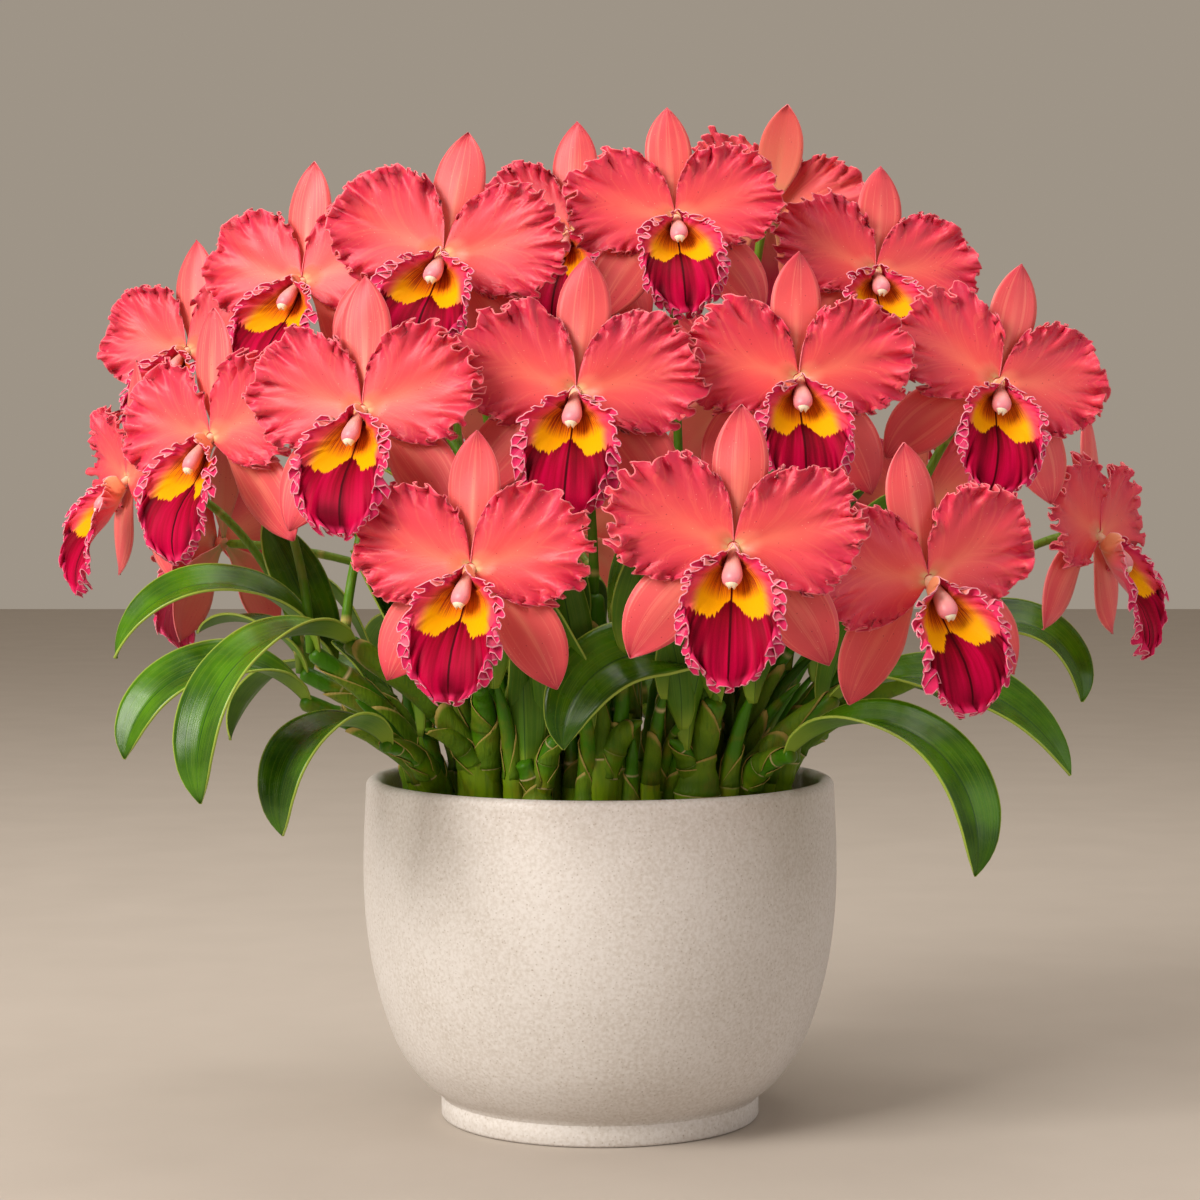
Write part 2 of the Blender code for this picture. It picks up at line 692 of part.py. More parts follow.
def growth_body(name, growth, home):
    """One leafy growth: pseudobulbs, leaves and flower stems, fused where they grow from each other."""
    pieces = []
    for cane in growth.canes:
        first = cane is growth.canes[0]
        points, radii = first_cane(growth) if first else later_cane(growth, cane)
        pieces.append(tube(name, points, radii, home))
        inside = points[-1] + (points[-2] - points[-1]).normalized() * OVERLAP
        for leaf in cane.leaves:
            pieces.append(leaf_blade("leaf", leaf, inside, home))
        for key in cane.blooms:
            line = stem_line(points[-1], BLOOMS[key])
            thick = [PEDUNCLE_RADIUS] * 3 + [PEDICEL_RADIUS] * 2
            pieces.append(tube("stem", [inside, *line[1:]], thick, home))
    return joined(name, pieces[0], pieces[1:], "UNION")


def foot_cutter(growth, home):
    """The plain hole that a growth's foot stands in."""
    points, radii = first_cane(growth)
    clear = 1 / math.cos(math.pi / 6)
    line = [points[0] - Vector((0, 0, GAP * 1.5)), points[1], points[2]]
    return tube("hole", line, [(r + GAP) * clear for r in radii[:3]], home)


def main():
    clear_scene()
    home = collection("cattleya_orchid")
    workshop = collection("workshop")
    finishes = {
        "coral": material("coral_petal", CORAL, 0.5),
        "crimson": material("crimson_lip", CRIMSON, 0.5),
        "green": material("green_leaf", GREEN, 0.35),
        "brown": material("pine_bark", BROWN, 0.9),
        "stoneware": material("stoneware", STONEWARE, 0.75),
    }
    dressed(pot(workshop), finishes["stoneware"], home)
    cutters = [foot_cutter(growth, workshop) for growth in GROWTHS.values()]
    dressed(bark(workshop, cutters), finishes["brown"], home)
    for number, growth in GROWTHS.items():
        dressed(growth_body(f"growth_{number}", growth, workshop), finishes["green"], home)
    for number, bloom in BLOOMS.items():
        seat = place(f"seat_{number}", None, home)
        seat.matrix_world = bloom.matrix()
        dressed(tepals(f"bloom_{number}", int(number), workshop), finishes["coral"], home).parent = seat
        dressed(lip(f"lip_{number}", workshop), finishes["crimson"], home).parent = seat
    bpy.data.collections.remove(workshop)


main()
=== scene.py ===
"""The looks of a cattleya orchid in bloom, in a round stoneware pot.

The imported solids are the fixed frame, and each is replaced by a finer piece of the same
form. Shapes are worked out in millimetres and stored in metres, +Z up, with the plant's
best side towards -Y. Every grown sheet starts as a grid primitive whose flat X and Y say
where on the petal, lip or leaf a point lies, and is then laid out, thickened and dressed.
"""

import logging
import math
from collections.abc import Callable, Iterator, Sequence
from contextlib import contextmanager
from dataclasses import dataclass, field
from enum import Enum
from functools import partial

import bpy
import numpy as np
from mathutils import Matrix, Vector


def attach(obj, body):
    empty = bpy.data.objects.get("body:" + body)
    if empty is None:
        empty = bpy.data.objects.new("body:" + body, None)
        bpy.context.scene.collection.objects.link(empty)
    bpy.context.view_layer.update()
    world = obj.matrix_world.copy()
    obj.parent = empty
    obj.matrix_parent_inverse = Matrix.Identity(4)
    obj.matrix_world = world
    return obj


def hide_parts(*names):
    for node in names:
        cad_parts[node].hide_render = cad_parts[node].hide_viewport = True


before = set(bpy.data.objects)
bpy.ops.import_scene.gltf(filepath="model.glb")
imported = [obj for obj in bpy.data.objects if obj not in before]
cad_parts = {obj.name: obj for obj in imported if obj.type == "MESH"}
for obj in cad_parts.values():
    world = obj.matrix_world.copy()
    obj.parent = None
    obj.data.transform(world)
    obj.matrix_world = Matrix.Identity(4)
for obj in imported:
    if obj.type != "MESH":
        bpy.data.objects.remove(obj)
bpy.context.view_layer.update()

MM = 0.001
WELD = 0.01 * MM  # points this close are one
HEM_SCALE = 30  # the rim value falls from 1 to 0 over this many mm in from a margin
BODY = "root"
LOG = logging.getLogger("orchid")

Array = np.ndarray
Piece = bpy.types.Object
Node = bpy.types.Node
Random = np.random.Generator


# Colours and nodes

def linear(code: str) -> tuple[float, float, float, float]:
    """Turns an sRGB hex colour into linear RGBA.

    Args:
        code: six hex digits.

    Returns:
        Linear red, green and blue, and an alpha of 1.
    """
    parts = [int(code[i:i + 2], 16) / 255 for i in (0, 2, 4)]
    return (*[c / 12.92 if c <= 0.04045 else ((c + 0.055) / 1.055) ** 2.4 for c in parts], 1.0)


def node(tree: bpy.types.NodeTree, kind: str, sockets: dict | list | None = None, stops: Sequence = (),
         **settings) -> Node:
    """Adds a shader node with its settings, values and links.

    Args:
        tree: the material's node tree.
        kind: the node's type, after "ShaderNode".
        sockets: for each input, by name or place, a value, a socket or a node that feeds it. A range's
            are what it reads, the values there that it starts and ends at, and what they become. A
            mix's are its share and the two colours.
        stops: a colour ramp's (place, hex colour) pairs.
        settings: the node's properties.

    Returns:
        The node.
    """
    made = tree.nodes.new("ShaderNode" + kind)
    for key, value in settings.items():
        setattr(made, key, value)
    if stops:
        ramp = made.color_ramp
        while len(ramp.elements) < len(stops):
            ramp.elements.new(1)
        for element, (place, code) in zip(ramp.elements, stops):
            element.position = place
            element.color = linear(code)
    for key, value in (sockets.items() if isinstance(sockets, dict) else enumerate(sockets or [])):
        if isinstance(value, Node):
            value = value.outputs[0]
        if isinstance(value, bpy.types.NodeSocket):
            tree.links.new(value, made.inputs[key])
        elif value is not None:
            made.inputs[key].default_value = value
    return made


Adder = Callable[..., Node]  # node, for one tree
TIMES = {"operation": "MULTIPLY"}
EASED = {"interpolation_type": "SMOOTHSTEP"}  # for a range without corners


@dataclass
class Coat:
    """What a finish lays on its surface.

    A ground, then layers that each have a node for how far they show and a hex colour or node
    for what they show, and a relief with its strength and depth in mm. Where the roughness or
    lightness varies, a node says how.
    """

    ground: Node
    layers: Sequence = ()
    relief: Node | None = None
    strength: float = 0.0
    depth: float = 0.0
    roughness: Node | None = None
    lightness: Node | None = None


@dataclass(frozen=True)
class Finish:
    """What every finish has: a name, and the shine of its surface."""

    name: str
    roughness: float = 0.5
    specular: float = 0.5
    ior: float = 1.45
    sheen: float = 0.0
    subsurface: float = 0.0

    def material(self) -> bpy.types.Material:
        """Builds the material, or finds it if it is built already.

        Returns:
            The material.
        """
        made = bpy.data.materials.get(self.name)
        if made is not None:
            return made
        made = bpy.data.materials.new(self.name)
        made.use_nodes = True
        tree = made.node_tree
        shader = tree.nodes["Principled BSDF"]
        values = {"Roughness": self.roughness, "Specular IOR Level": self.specular, "IOR": self.ior,
                  "Sheen Weight": self.sheen, "Sheen Roughness": 0.4}
        if self.subsurface:
            values |= {"Subsurface Weight": self.subsurface, "Subsurface Radius": (1.0, 0.35, 0.2),
                       "Subsurface Scale": 2 * MM}
        for key, value in values.items():
            shader.inputs[key].default_value = value
        add = partial(node, tree)
        coat = self.coat(add, add("TexCoord").outputs["Object"])
        colour = coat.ground
        for share, layer in coat.layers:
            colour = add("MixRGB", [share, colour, linear(layer) if isinstance(layer, str) else layer])
        if coat.lightness is not None:
            colour = add("HueSaturation", {"Value": coat.lightness, "Color": colour})
        feeds = {"Base Color": colour, "Roughness": coat.roughness}
        if coat.relief is not None:
            feeds["Normal"] = add("Bump", {"Height": coat.relief, "Strength": coat.strength,
                                           "Distance": coat.depth * MM})
        for key, source in feeds.items():
            if source is not None:
                tree.links.new(source.outputs[0], shader.inputs[key])
        return made

    def coat(self, add: Adder, where: bpy.types.NodeSocket) -> Coat:
        """Works out the finish's own colours and relief; each finish has its own.

        Args:
            add: adds a node to the material.
            where: the place on the object, in metres.

        Returns:
            The coat.
        """
        raise NotImplementedError


@dataclass(frozen=True)
class TepalSkin(Finish):
    """Petal and sepal: a thin, fleshy sheet with fanning veins, crimson folds and a pale hem.

    The eye sees coral that glows peach towards the base, crimson in the folds that is partly
    pigment and partly painted shade in their troughs, and a fine crystalline sheen.
    """

    stops: tuple = ()
    glow: str = "FF9A72"
    glow_width: float = 0.42
    # the crimson of the folds, laid partly as pigment and partly as painted shade in their troughs
    folds: str = "D01848"
    fold_start: float = 0.30
    fold_strength: float = 0.8
    flush: float = 0.0  # how much of the folds' colour lies over the outer lobes
    hem: str = "FF9094"
    fold_pitch: float = 7.0  # streaks across half the sheet
    vein_pitch: float = 60.0
    vein_strength: float = 0.16
    specks: tuple = ((4.2, 0.075, "A5122E"), (3.36, 0.055, "FFC3A8"))  # mm apart, size as a share, and colour
    branching: float = 0.0  # how far the veins spread from the middle as they run out

    def coat(self, add: Adder, where: bpy.types.NodeSocket) -> Coat:
        """Lays the ramp from base to hem, the glow, the folds' crimson with painted shade in their troughs,
        veins, specks and hem; see Finish.coat.
        """
        lay = add("Attribute", attribute_name="lay")
        across, along, rim = add("SeparateXYZ", [lay.outputs["Vector"]]).outputs
        fold, tone = (add("Attribute", attribute_name=key).outputs["Fac"] for key in ("fold", "tone"))
        seed = add("Math", [tone, 37.0], **TIMES)
        aside, side = (add("Math", [across], operation=part) for part in ("ABSOLUTE", "SIGN"))
        spread = add("Math", [along, -self.branching, aside], operation="MULTIPLY_ADD")
        pitches = (self.fold_pitch, self.vein_pitch)
        folded, narrow = (add("Math", [spread, pitch], **TIMES) for pitch in pitches)
        wide = add("Math", [folded, add("Math", [side, 9.0], **TIMES)])
        run = add("Math", [along, 1.6], **TIMES)
        streak, vein = (add("TexNoise", {"Vector": add("CombineXYZ", [reach, run, seed]), "Scale": scale,
                                         "Detail": detail, "Distortion": warp})
                        for reach, scale, detail, warp in ((wide, 0.5, 3.0, 0.3), (narrow, 0.6, 2.0, 0)))
        glow = add("Math", [add("MapRange", [aside, 0.0, self.glow_width, 0.6, 0.0], **EASED),
                            add("MapRange", [along, 0.95, 0.1], **EASED)], **TIMES)
        flush = add("Math", [add("MapRange", [aside, 0.12, 0.62, 0.0, self.flush], **EASED),
                             add("MapRange", [along, 0.12, 0.6], **EASED)], **TIMES)
        cloud = add("TexNoise", {"Vector": where, "Scale": 1 / (13 * MM), "Detail": 3.0})
        patchy = add("Math", [add("MapRange", [streak, 0.38, 0.66], **EASED), 0.18,
                              add("MapRange", [cloud, 0.38, 0.66, -0.15, 0.35])], operation="MULTIPLY_ADD")
        # Partly pigment, partly painted shade: the crimson darkens the troughs that lie away from the front,
        # with cloudy pigment streaks added
        dark = add("Math", [add("MapRange", [fold, -0.8, 1.2, 0.0, 0.85]), patchy])
        dark = add("Math", [dark, add("MapRange", [along, self.fold_start, 0.95], **EASED)], **TIMES)
        dark = add("Math", [dark, self.fold_strength], use_clamp=True, **TIMES)
        layers = [(glow, self.glow), (flush, self.folds), (dark, self.folds),
                  (add("MapRange", [vein, 0.52, 0.66, 0.0, self.vein_strength]), self.glow)]
        # Specks are about 0.5 mm wide, drawn a little coarser than life so that they show
        for pitch, size, colour in self.specks:
            cells = add("TexVoronoi", {"Vector": where, "Scale": 1 / (pitch * MM)})
            speck = add("Math", [cells, size], operation="LESS_THAN")
            layers.append((add("Math", [speck, 0.6], **TIMES), colour))
        layers.append((add("MapRange", [rim, 0.975, 0.995, 0.0, 0.6]), self.hem))
        grain = add("TexNoise", {"Vector": where, "Scale": 1 / (0.9 * MM), "Detail": 1.0})
        return Coat(add("ValToRGB", [along], stops=self.stops), layers, add("Math", [vein, grain]),
                    strength=0.25, depth=0.25, lightness=add("MapRange", [tone, 0.0, 1.0, 0.92, 1.06]))


@dataclass(frozen=True)
class LipVelvet(Finish):
    """Lip: velvety crimson with darker rays, a golden throat, and a curled pink frill with a pale edge."""

    stops: tuple = ((0.3, "58000A"), (0.48, "86001A"), (0.7, "A6002E"), (0.92, "BC003C"))
    # the dark of the rays, also laid as painted shade in the ripples' valleys
    ray: str = "42000A"
    bright: str = "CE0046"
    gold: str = "F2A400"
    throat: str = "E87C0C"
    claw: str = "B04A1E"
    lines: str = "8A1420"
    side: str = "E8485C"
    frill: str = "D82C62"
    hem: str = "FFB4C2"

    def coat(self, add: Adder, where: bpy.types.NodeSocket) -> Coat:
        """Lays the rays, painted shade in the ripples' valleys, the gold with its ragged edge, the throat,
        midline and frill; see Finish.coat.
        """
        lay = add("Attribute", attribute_name="lay")
        across, along, rim = add("SeparateXYZ", [lay.outputs["Vector"]]).outputs
        fold, tone = (add("Attribute", attribute_name=key).outputs["Fac"] for key in ("fold", "tone"))
        seed = add("Math", [tone, 37.0], **TIMES)
        aside = add("Math", [across], operation="ABSOLUTE")
        # The rays fan out from the throat, so they follow the bearing from the lip's base
        bearing = add("Math", [across, add("Math", [along, 0.25])], operation="DIVIDE")
        wide = add("Math", [bearing, 6.5], **TIMES)
        fan = add("CombineXYZ", [wide, along, seed])
        streak = add("TexNoise", {"Vector": fan, "Scale": 0.8, "Detail": 4.0})
        narrow, fine = (add("Math", [across, pitch], **TIMES) for pitch in (55.0, 130.0))
        ragged = add("TexNoise", {"Vector": add("CombineXYZ", [narrow, seed]), "Scale": 0.5})
        border = add("MapRange", [aside, 0.0, 0.42, 0.22, 0.40], **EASED)
        border = add("Math", [ragged, 0.10, border], operation="MULTIPLY_ADD")
        past = add("Math", [along, border], operation="SUBTRACT")
        inside = add("MapRange", [aside, 0.62, 0.80, 1.0, 0.0], **EASED)
        warm = add("ValToRGB", [along], stops=((0.0, self.claw), (0.2, self.throat), (0.34, self.gold),
                                               (1.0, self.gold)))
        lines = add("TexNoise", {"Vector": add("CombineXYZ", [fine, along, seed]), "Scale": 0.5})
        lines = add("MapRange", [lines, 0.50, 0.58])
        for mask in (add("MapRange", [along, 0.34, 0.22, 0.0, 0.8]), inside):
            lines = add("Math", [lines, mask], **TIMES)
        grain = add("TexNoise", {"Vector": where, "Scale": 1 / (0.7 * MM), "Detail": 1.0})
        return Coat(add("ValToRGB", [along], stops=self.stops), (
            (add("MapRange", [streak, 0.47, 0.68, 0.0, 0.65]), self.ray),
            (add("MapRange", [streak, 0.48, 0.32, 0.0, 0.6]), self.bright),
            # Painted shade: the ray colour darkens the ripples' valleys, which lie away from the front
            (add("MapRange", [fold, 0.1, -0.7, 0.0, 0.75], **EASED), self.ray),
            (add("MapRange", [past, 0.055, 0.04]), add("MixRGB", [inside, linear(self.side), warm])),
            (lines, self.lines),
            (add("MapRange", [aside, 0.035, 0.015]), self.ray),
            (add("MapRange", [rim, 0.80, 0.93, 0.0, 0.85], **EASED), self.frill),
            (add("MapRange", [rim, 0.980, 0.997, 0.0, 0.8]), self.hem)),
            relief=add("Math", [streak, grain]), strength=0.3, depth=0.3)


@dataclass(frozen=True)
class LeafSkin(Finish):
    """Leaf: a thick waxy cuticle over parallel veins, with a sunken midrib darkened by painted shade, and a
    pale edge.
    """

    blade: str = "467800"
    shade: str = "234A00"
    # the painted shade in the midrib's crease
    young: str = "88A826"
    midrib: str = "1F4A0E"
    edge: str = "A9BE4C"

    def coat(self, add: Adder, where: bpy.types.NodeSocket) -> Coat:
        """Lays the mottled green, the yellow base, the painted shade along the midrib, the edge and the
        veins; see Finish.coat.
        """
        lay = add("Attribute", attribute_name="lay")
        across, along, rim = add("SeparateXYZ", [lay.outputs["Vector"]]).outputs
        mottle, cloud = (add("TexNoise", {"Vector": where, "Scale": 1 / (pitch * MM), "Detail": detail})
                         for pitch, detail in ((28, 3.0), (9, 4.0)))
        wide = add("Math", [across, 30.0], **TIMES)
        vein = add("TexNoise", {"Vector": add("CombineXYZ", [wide, along]), "Scale": 0.8})
        aside = add("Math", [across], operation="ABSOLUTE")
        return Coat(
            add("MixRGB", [add("MapRange", [mottle, 0.35, 0.65]), linear(self.blade), linear(self.shade)]), (
                (add("MapRange", [vein, 0.5, 0.65, 0.0, 0.22]), self.young),
                (add("MapRange", [along, 0.22, 0.0, 0.0, 0.75], **EASED), self.young),
                # Painted shade: a dark line down the midrib's crease
                (add("MapRange", [aside, 0.04, 0.015, 0.0, 0.85]), self.midrib),
                (add("MapRange", [rim, 0.955, 0.985, 0.0, 0.8]), self.edge)),
            relief=add("Math", [vein, cloud]), strength=0.25, depth=0.4,
            roughness=add("MapRange", [cloud, 0.3, 0.7, self.roughness - 0.06, self.roughness + 0.08]))


@dataclass(frozen=True)
class CaneSkin(Finish):
    """Pseudobulb, flower stem or sheath: green flesh with lengthwise ribs, blushes and papery scars."""

    low: str = "6C8A0E"
    high: str = "3E720A"
    groove: str = "3E6414"
    scar: str = "C9B184"
    blush: str = "80701C"
    rib_mm: float = 3.2

    def coat(self, add: Adder, where: bpy.types.NodeSocket) -> Coat:
        """Lays the green along the cane, the scars that fold marks, and the ribs; see Finish.coat."""
        lay, fold = (add("Attribute", attribute_name=key) for key in ("lay", "fold"))
        along = add("SeparateXYZ", [lay.outputs["Vector"]]).outputs[1]
        stretched = add("Mapping", {"Vector": where, "Scale": (1.0, 1.0, 0.12)})
        ribs = add("TexNoise", {"Vector": stretched, "Scale": 1 / (self.rib_mm * MM), "Detail": 2.0})
        cloud = add("TexNoise", {"Vector": where, "Scale": 1 / (14 * MM), "Detail": 3.0})
        stops = ((0.0, self.low), (0.35, self.low), (0.6, self.high), (1.0, self.high))
        return Coat(add("ValToRGB", [along], stops=stops), (
            (add("MapRange", [cloud, 0.52, 0.72, 0.0, 0.6]), self.blush),
            (add("MapRange", [ribs, 0.52, 0.68, 0.0, 0.45]), self.groove),
            (add("MapRange", [fold.outputs["Fac"], 0.35, 0.7]), self.scar)), ribs, strength=0.6, depth=0.9)


@dataclass(frozen=True)
class Stoneware(Finish):
    """Pot: fired stoneware under a thin matte slip, warm off-white with iron specks and faint mottling."""

    slip: str = "D8D3CF"
    cloud: str = "C5BDB5"
    iron: str = "8E7C6A"
    specks: tuple = ((2.6, 0.2, 0.5), (10.4, 0.055, 0.8))  # mm apart, size as a share, and strength

    def coat(self, add: Adder, where: bpy.types.NodeSocket) -> Coat:
        """Lays the mottling, two sizes of speck, faint throwing lines and a pitted grain; see Finish.coat."""
        rings = add("Mapping", {"Vector": where, "Scale": (0.05, 0.05, 1.0)})
        grains = ((where, 45, 4.0), (where, 1.8, 2.0), (rings, 7, 1.0))
        broad, fine, thrown = (add("TexNoise", {"Vector": at, "Scale": 1 / (pitch * MM), "Detail": detail})
                               for at, pitch, detail in grains)
        mix = add("Math", [broad, 0.3, add("Math", [fine, 0.7], **TIMES)], operation="MULTIPLY_ADD")
        layers = []
        for pitch, size, strength in self.specks:
            cells = add("TexVoronoi", {"Vector": where, "Scale": 1 / (pitch * MM)})
            layers.append((add("MapRange", [cells, size, size * 0.4, 0.0, strength]), self.iron))
        ground = add("MixRGB", [add("MapRange", [mix, 0.4, 0.68]), linear(self.slip), linear(self.cloud)])
        relief = add("Math", [fine, add("Math", [thrown, 0.8], **TIMES)])
        return Coat(ground, layers, relief, strength=0.35, depth=0.3)


@dataclass(frozen=True)
class BarkSkin(Finish):
    """Pine bark: layered cork in dark and red browns, dry and open-grained."""

    stops: tuple = ((0.35, "2E1A10"), (0.55, "4C2C1A"), (0.72, "7A4A2C"))

    def coat(self, add: Adder, where: bpy.types.NodeSocket) -> Coat:
        """Lays the layers' colours and the cork's relief; see Finish.coat."""
        rough = add("TexNoise", {"Vector": where, "Scale": 1 / (6 * MM), "Detail": 5.0})
        return Coat(add("ValToRGB", [rough], stops=self.stops), (), rough, strength=0.8, depth=1.2)


@dataclass(frozen=True)
class Waxy(Finish):
    """Column, anther cap or root: pale wax-like tissue that shades from one colour to another."""

    near: str = "E9A9B4"
    far: str = "F6DCDD"

    def coat(self, add: Adder, where: bpy.types.NodeSocket) -> Coat:
        """Lays the shading along the piece and a fine grain; see Finish.coat."""
        lay = add("Attribute", attribute_name="lay")
        along = add("SeparateXYZ", [lay.outputs["Vector"]]).outputs[1]
        grain = add("TexNoise", {"Vector": where, "Scale": 1 / (1.1 * MM), "Detail": 2.0})
        ground = add("ValToRGB", [along], stops=((0.2, self.near), (0.95, self.far)))
        return Coat(ground, (), grain, strength=0.2, depth=0.2)


@dataclass(frozen=True)
class Plaster(Finish):
    """The studio floor: plain pale plaster, barely clouded."""

    colour: str = "B4AAA0"
    cloud: str = "BEB4AA"

    def coat(self, add: Adder, where: bpy.types.NodeSocket) -> Coat:
        """Lays the clouded colour; see Finish.coat."""
        cloud = add("TexNoise", {"Vector": where, "Scale": 1 / (90 * MM), "Detail": 4.0})
        return Coat(add("MixRGB", [cloud, linear(self.colour), linear(self.cloud)]))


PETAL = TepalSkin("petal_flesh", 0.46, sheen=0.1, subsurface=0.1, flush=0.38, glow="FF8468", glow_width=0.3,
                  branching=0.6, fold_strength=0.78, folds="CA1646",
                  stops=((0.0, "F8D9A0"), (0.08, "FA8C70"), (0.25, "F05452"), (0.70, "EC4A54"),
                         (1.0, "E43C5A")))
PETAL_BACK = TepalSkin("petal_back", 0.55, sheen=0.2, subsurface=0.1, flush=0.4, folds="CF2E50",
                       fold_strength=0.5,
                       stops=((0.0, "E9C79A"), (0.15, "F0826C"), (0.5, "EC6058"), (1.0, "E24A56")))
SEPAL = TepalSkin("sepal_flesh", 0.46, sheen=0.1, subsurface=0.1, glow="FF9880", glow_width=0.25,
                  folds="D4284A", fold_strength=0.4, fold_pitch=9.0, vein_pitch=22.0, vein_strength=0.35,
                  stops=((0.0, "D8A070"), (0.12, "EC7C6A"), (0.35, "EE625E"), (0.85, "E85258"),
                         (1.0, "B82840")))
SEPAL_BACK = TepalSkin("sepal_back", 0.55, sheen=0.1, subsurface=0.1, glow="E08A6A", glow_width=0.25,
                       folds="C93C4C", fold_start=0.5, fold_strength=0.3, fold_pitch=5.0, vein_pitch=22.0,
                       stops=((0.0, "A99A5C"), (0.3, "E47A62"), (0.9, "E05A56"), (1.0, "B8343C")))
LIP = LipVelvet("lip_velvet", 0.55, 0.06)
LIP_BACK = TepalSkin("lip_back", 0.5, sheen=0.2, subsurface=0.08, glow="F08C8C", folds="B8104C", hem="FFC2CE",
                     fold_pitch=6.0, vein_pitch=30.0,
                     stops=((0.0, "F3A070"), (0.25, "EA6474"), (0.6, "D02A62"), (1.0, "E0346E")))
LEAF = LeafSkin("leaf_cuticle", 0.25, 0.35)
LEAF_UNDER = LeafSkin("leaf_underside", 0.5, 0.25, blade="527F18", shade="3E6610", young="86A02C")
CANE = CaneSkin("pseudobulb_skin", 0.36, 0.2)
STEM = CaneSkin("flower_stem_skin", 0.42, 0.25, low="4E7A10", high="6C9024", scar="B9A860", blush="82823A",
                rib_mm=1.8)
SHEATH = CaneSkin("papery_sheath", 0.5, 0.15, low="4C6C0C", high="607E14", scar="A08E48", blush="6C6020",
                  rib_mm=1.6)
COLUMN = Waxy("column_wax", 0.38, subsurface=0.12, near="F2C0A0", far="EC8496")
ANTHER = Waxy("anther_cap", 0.45, subsurface=0.15, near="F3E3C6", far="FFF6E4")
ROOT = Waxy("aerial_root", 0.75, near="B9B48E", far="8F8A5A")
POT = Stoneware("matte_stoneware", 0.62, ior=1.5)
BARK = BarkSkin("pine_bark", 0.9)
FLOOR = Plaster("studio_floor", 0.85)


# Making and laying out pieces

def smooth(low: float, high: float, value: Array | float) -> Array:
    """An S-shaped rise from 0 at low to 1 at high."""
    t = np.clip((value - low) / (high - low), 0, 1)
    return t * t * (3 - 2 * t)


def through(stations: Sequence, at: Array) -> Array:
    """Values along a smooth curve through stations.

    Args:
        stations: rows of a place followed by its values.
        at: an array of places.

    Returns:
        An array with a row of values for each place.
    """
    rows = np.array(stations, float)
    at = np.clip(np.asarray(at, float), rows[0, 0], rows[-1, 0])
    i = np.clip(np.searchsorted(rows[:, 0], at, side="right") - 1, 0, len(rows) - 2)
    t = ((at - rows[i, 0]) / (rows[i + 1, 0] - rows[i, 0]))[:, None]
    before, after = rows[np.maximum(i - 1, 0), 1:], rows[np.minimum(i + 2, len(rows) - 1), 1:]
    start, end = rows[i, 1:], rows[i + 1, 1:]
    return ((2 * t**3 - 3 * t**2 + 1) * start + (t**3 - 2 * t**2 + t) * (end - before) / 2
            + (3 * t**2 - 2 * t**3) * end + (t**3 - t**2) * (after - start) / 2)


def ripple(rng: Random, place: Array, length: float, pitch: float) -> tuple[Array, Array]:
    """A wave along a margin whose pitch and height wander.

    Args:
        rng: the source of its chance values.
        place: how far along the margin, from 0 to 1.
        length: the margin's length in mm.
        pitch: the wave's usual length in mm.

    Returns:
        The wave's height, from -1 to 1, and its sideways lean, which curls each crest over.
    """
    wander = sum(rng.normal(0, 0.9) / k * np.sin(math.tau * (k * place + rng.random())) for k in range(1, 7))
    wander += sum(rng.normal(0, 0.25) * np.sin(math.tau * (k * place + rng.random())) for k in (11, 17, 23))
    swell = sum(0.3 * np.sin(math.tau * (rng.uniform(low, high) * place + rng.random()))
                for low, high in ((2, 7), (2, 7), (9, 21), (9, 21)))
    turn = math.tau * (length * place / pitch + rng.random()) + 1.6 * wander
    swell = np.clip(0.85 + swell, 0.15, 1.5)
    return swell * np.sin(turn), -swell * np.sin(2 * turn)


def notches(rng: Random, place: Array, length: float, pitch: float) -> Array:
    """Narrow notches between the round lobes of a frill.

    Args:
        rng: the source of its chance values.
        place: how far along the margin, from 0 to 1.
        length: the margin's length in mm.
        pitch: a lobe's usual width in mm.

    Returns:
        0 on a lobe, rising to 1 in a notch.
    """
    wander = sum(rng.normal(0, 0.8) * np.sin(math.tau * (k * place + rng.random())) for k in (2, 5, 9, 14))
    depth = np.clip(0.75 + 0.5 * np.sin(math.tau * (rng.uniform(3, 6) * place + rng.random())), 0.2, 1.2)
    return depth * (1 - np.abs(np.sin(math.pi * (length * place / pitch + rng.random()) + wander)) ** 0.6)


def vectors(items: Sequence, key: str) -> Array:
    """The vectors that a mesh's points or faces hold.

    Args:
        items: the points or faces.
        key: the property to read.

    Returns:
        One row for each.
    """
    found = np.zeros(len(items) * 3)
    items.foreach_get(key, found)
    return found.reshape(-1, 3)


def travelled(path: Array) -> Array:
    """How far along a line of points each of them lies."""
    return np.concatenate([[0], np.cumsum(np.linalg.norm(np.diff(path, axis=0), axis=1))])


def between(at: Array, places: Array, rows: Array) -> Array:
    """Reads rows that are known at rising places, by straight lines between them."""
    return np.stack([np.interp(at, places, column) for column in rows.T], 1)


def grid(name: str, across: int, along: int, bands: tuple[float, ...] = ()) -> Piece:
    """Adds a flat grid from -1 to 1 each way, cut finer beyond each band.

    Args:
        name: the piece's name.
        across: cells in X.
        along: cells in Y.
        bands: heights in Y past which every cell is cut in four.

    Returns:
        The grid.
    """
    bpy.ops.object.select_all(action="DESELECT")
    bpy.ops.mesh.primitive_grid_add(x_subdivisions=across, y_subdivisions=along, size=2)
    made = bpy.context.object
    made.name = made.data.name = name
    for band in bands:
        bpy.context.tool_settings.mesh_select_mode = (False, False, True)
        for part in (made.data.vertices, made.data.edges):
            part.foreach_set("select", np.zeros(len(part), bool))
        made.data.polygons.foreach_set("select", vectors(made.data.polygons, "center")[:, 1] > band)
        bpy.ops.object.mode_set(mode="EDIT")
        bpy.ops.mesh.subdivide(number_cuts=1)
        bpy.ops.object.mode_set(mode="OBJECT")
    return made


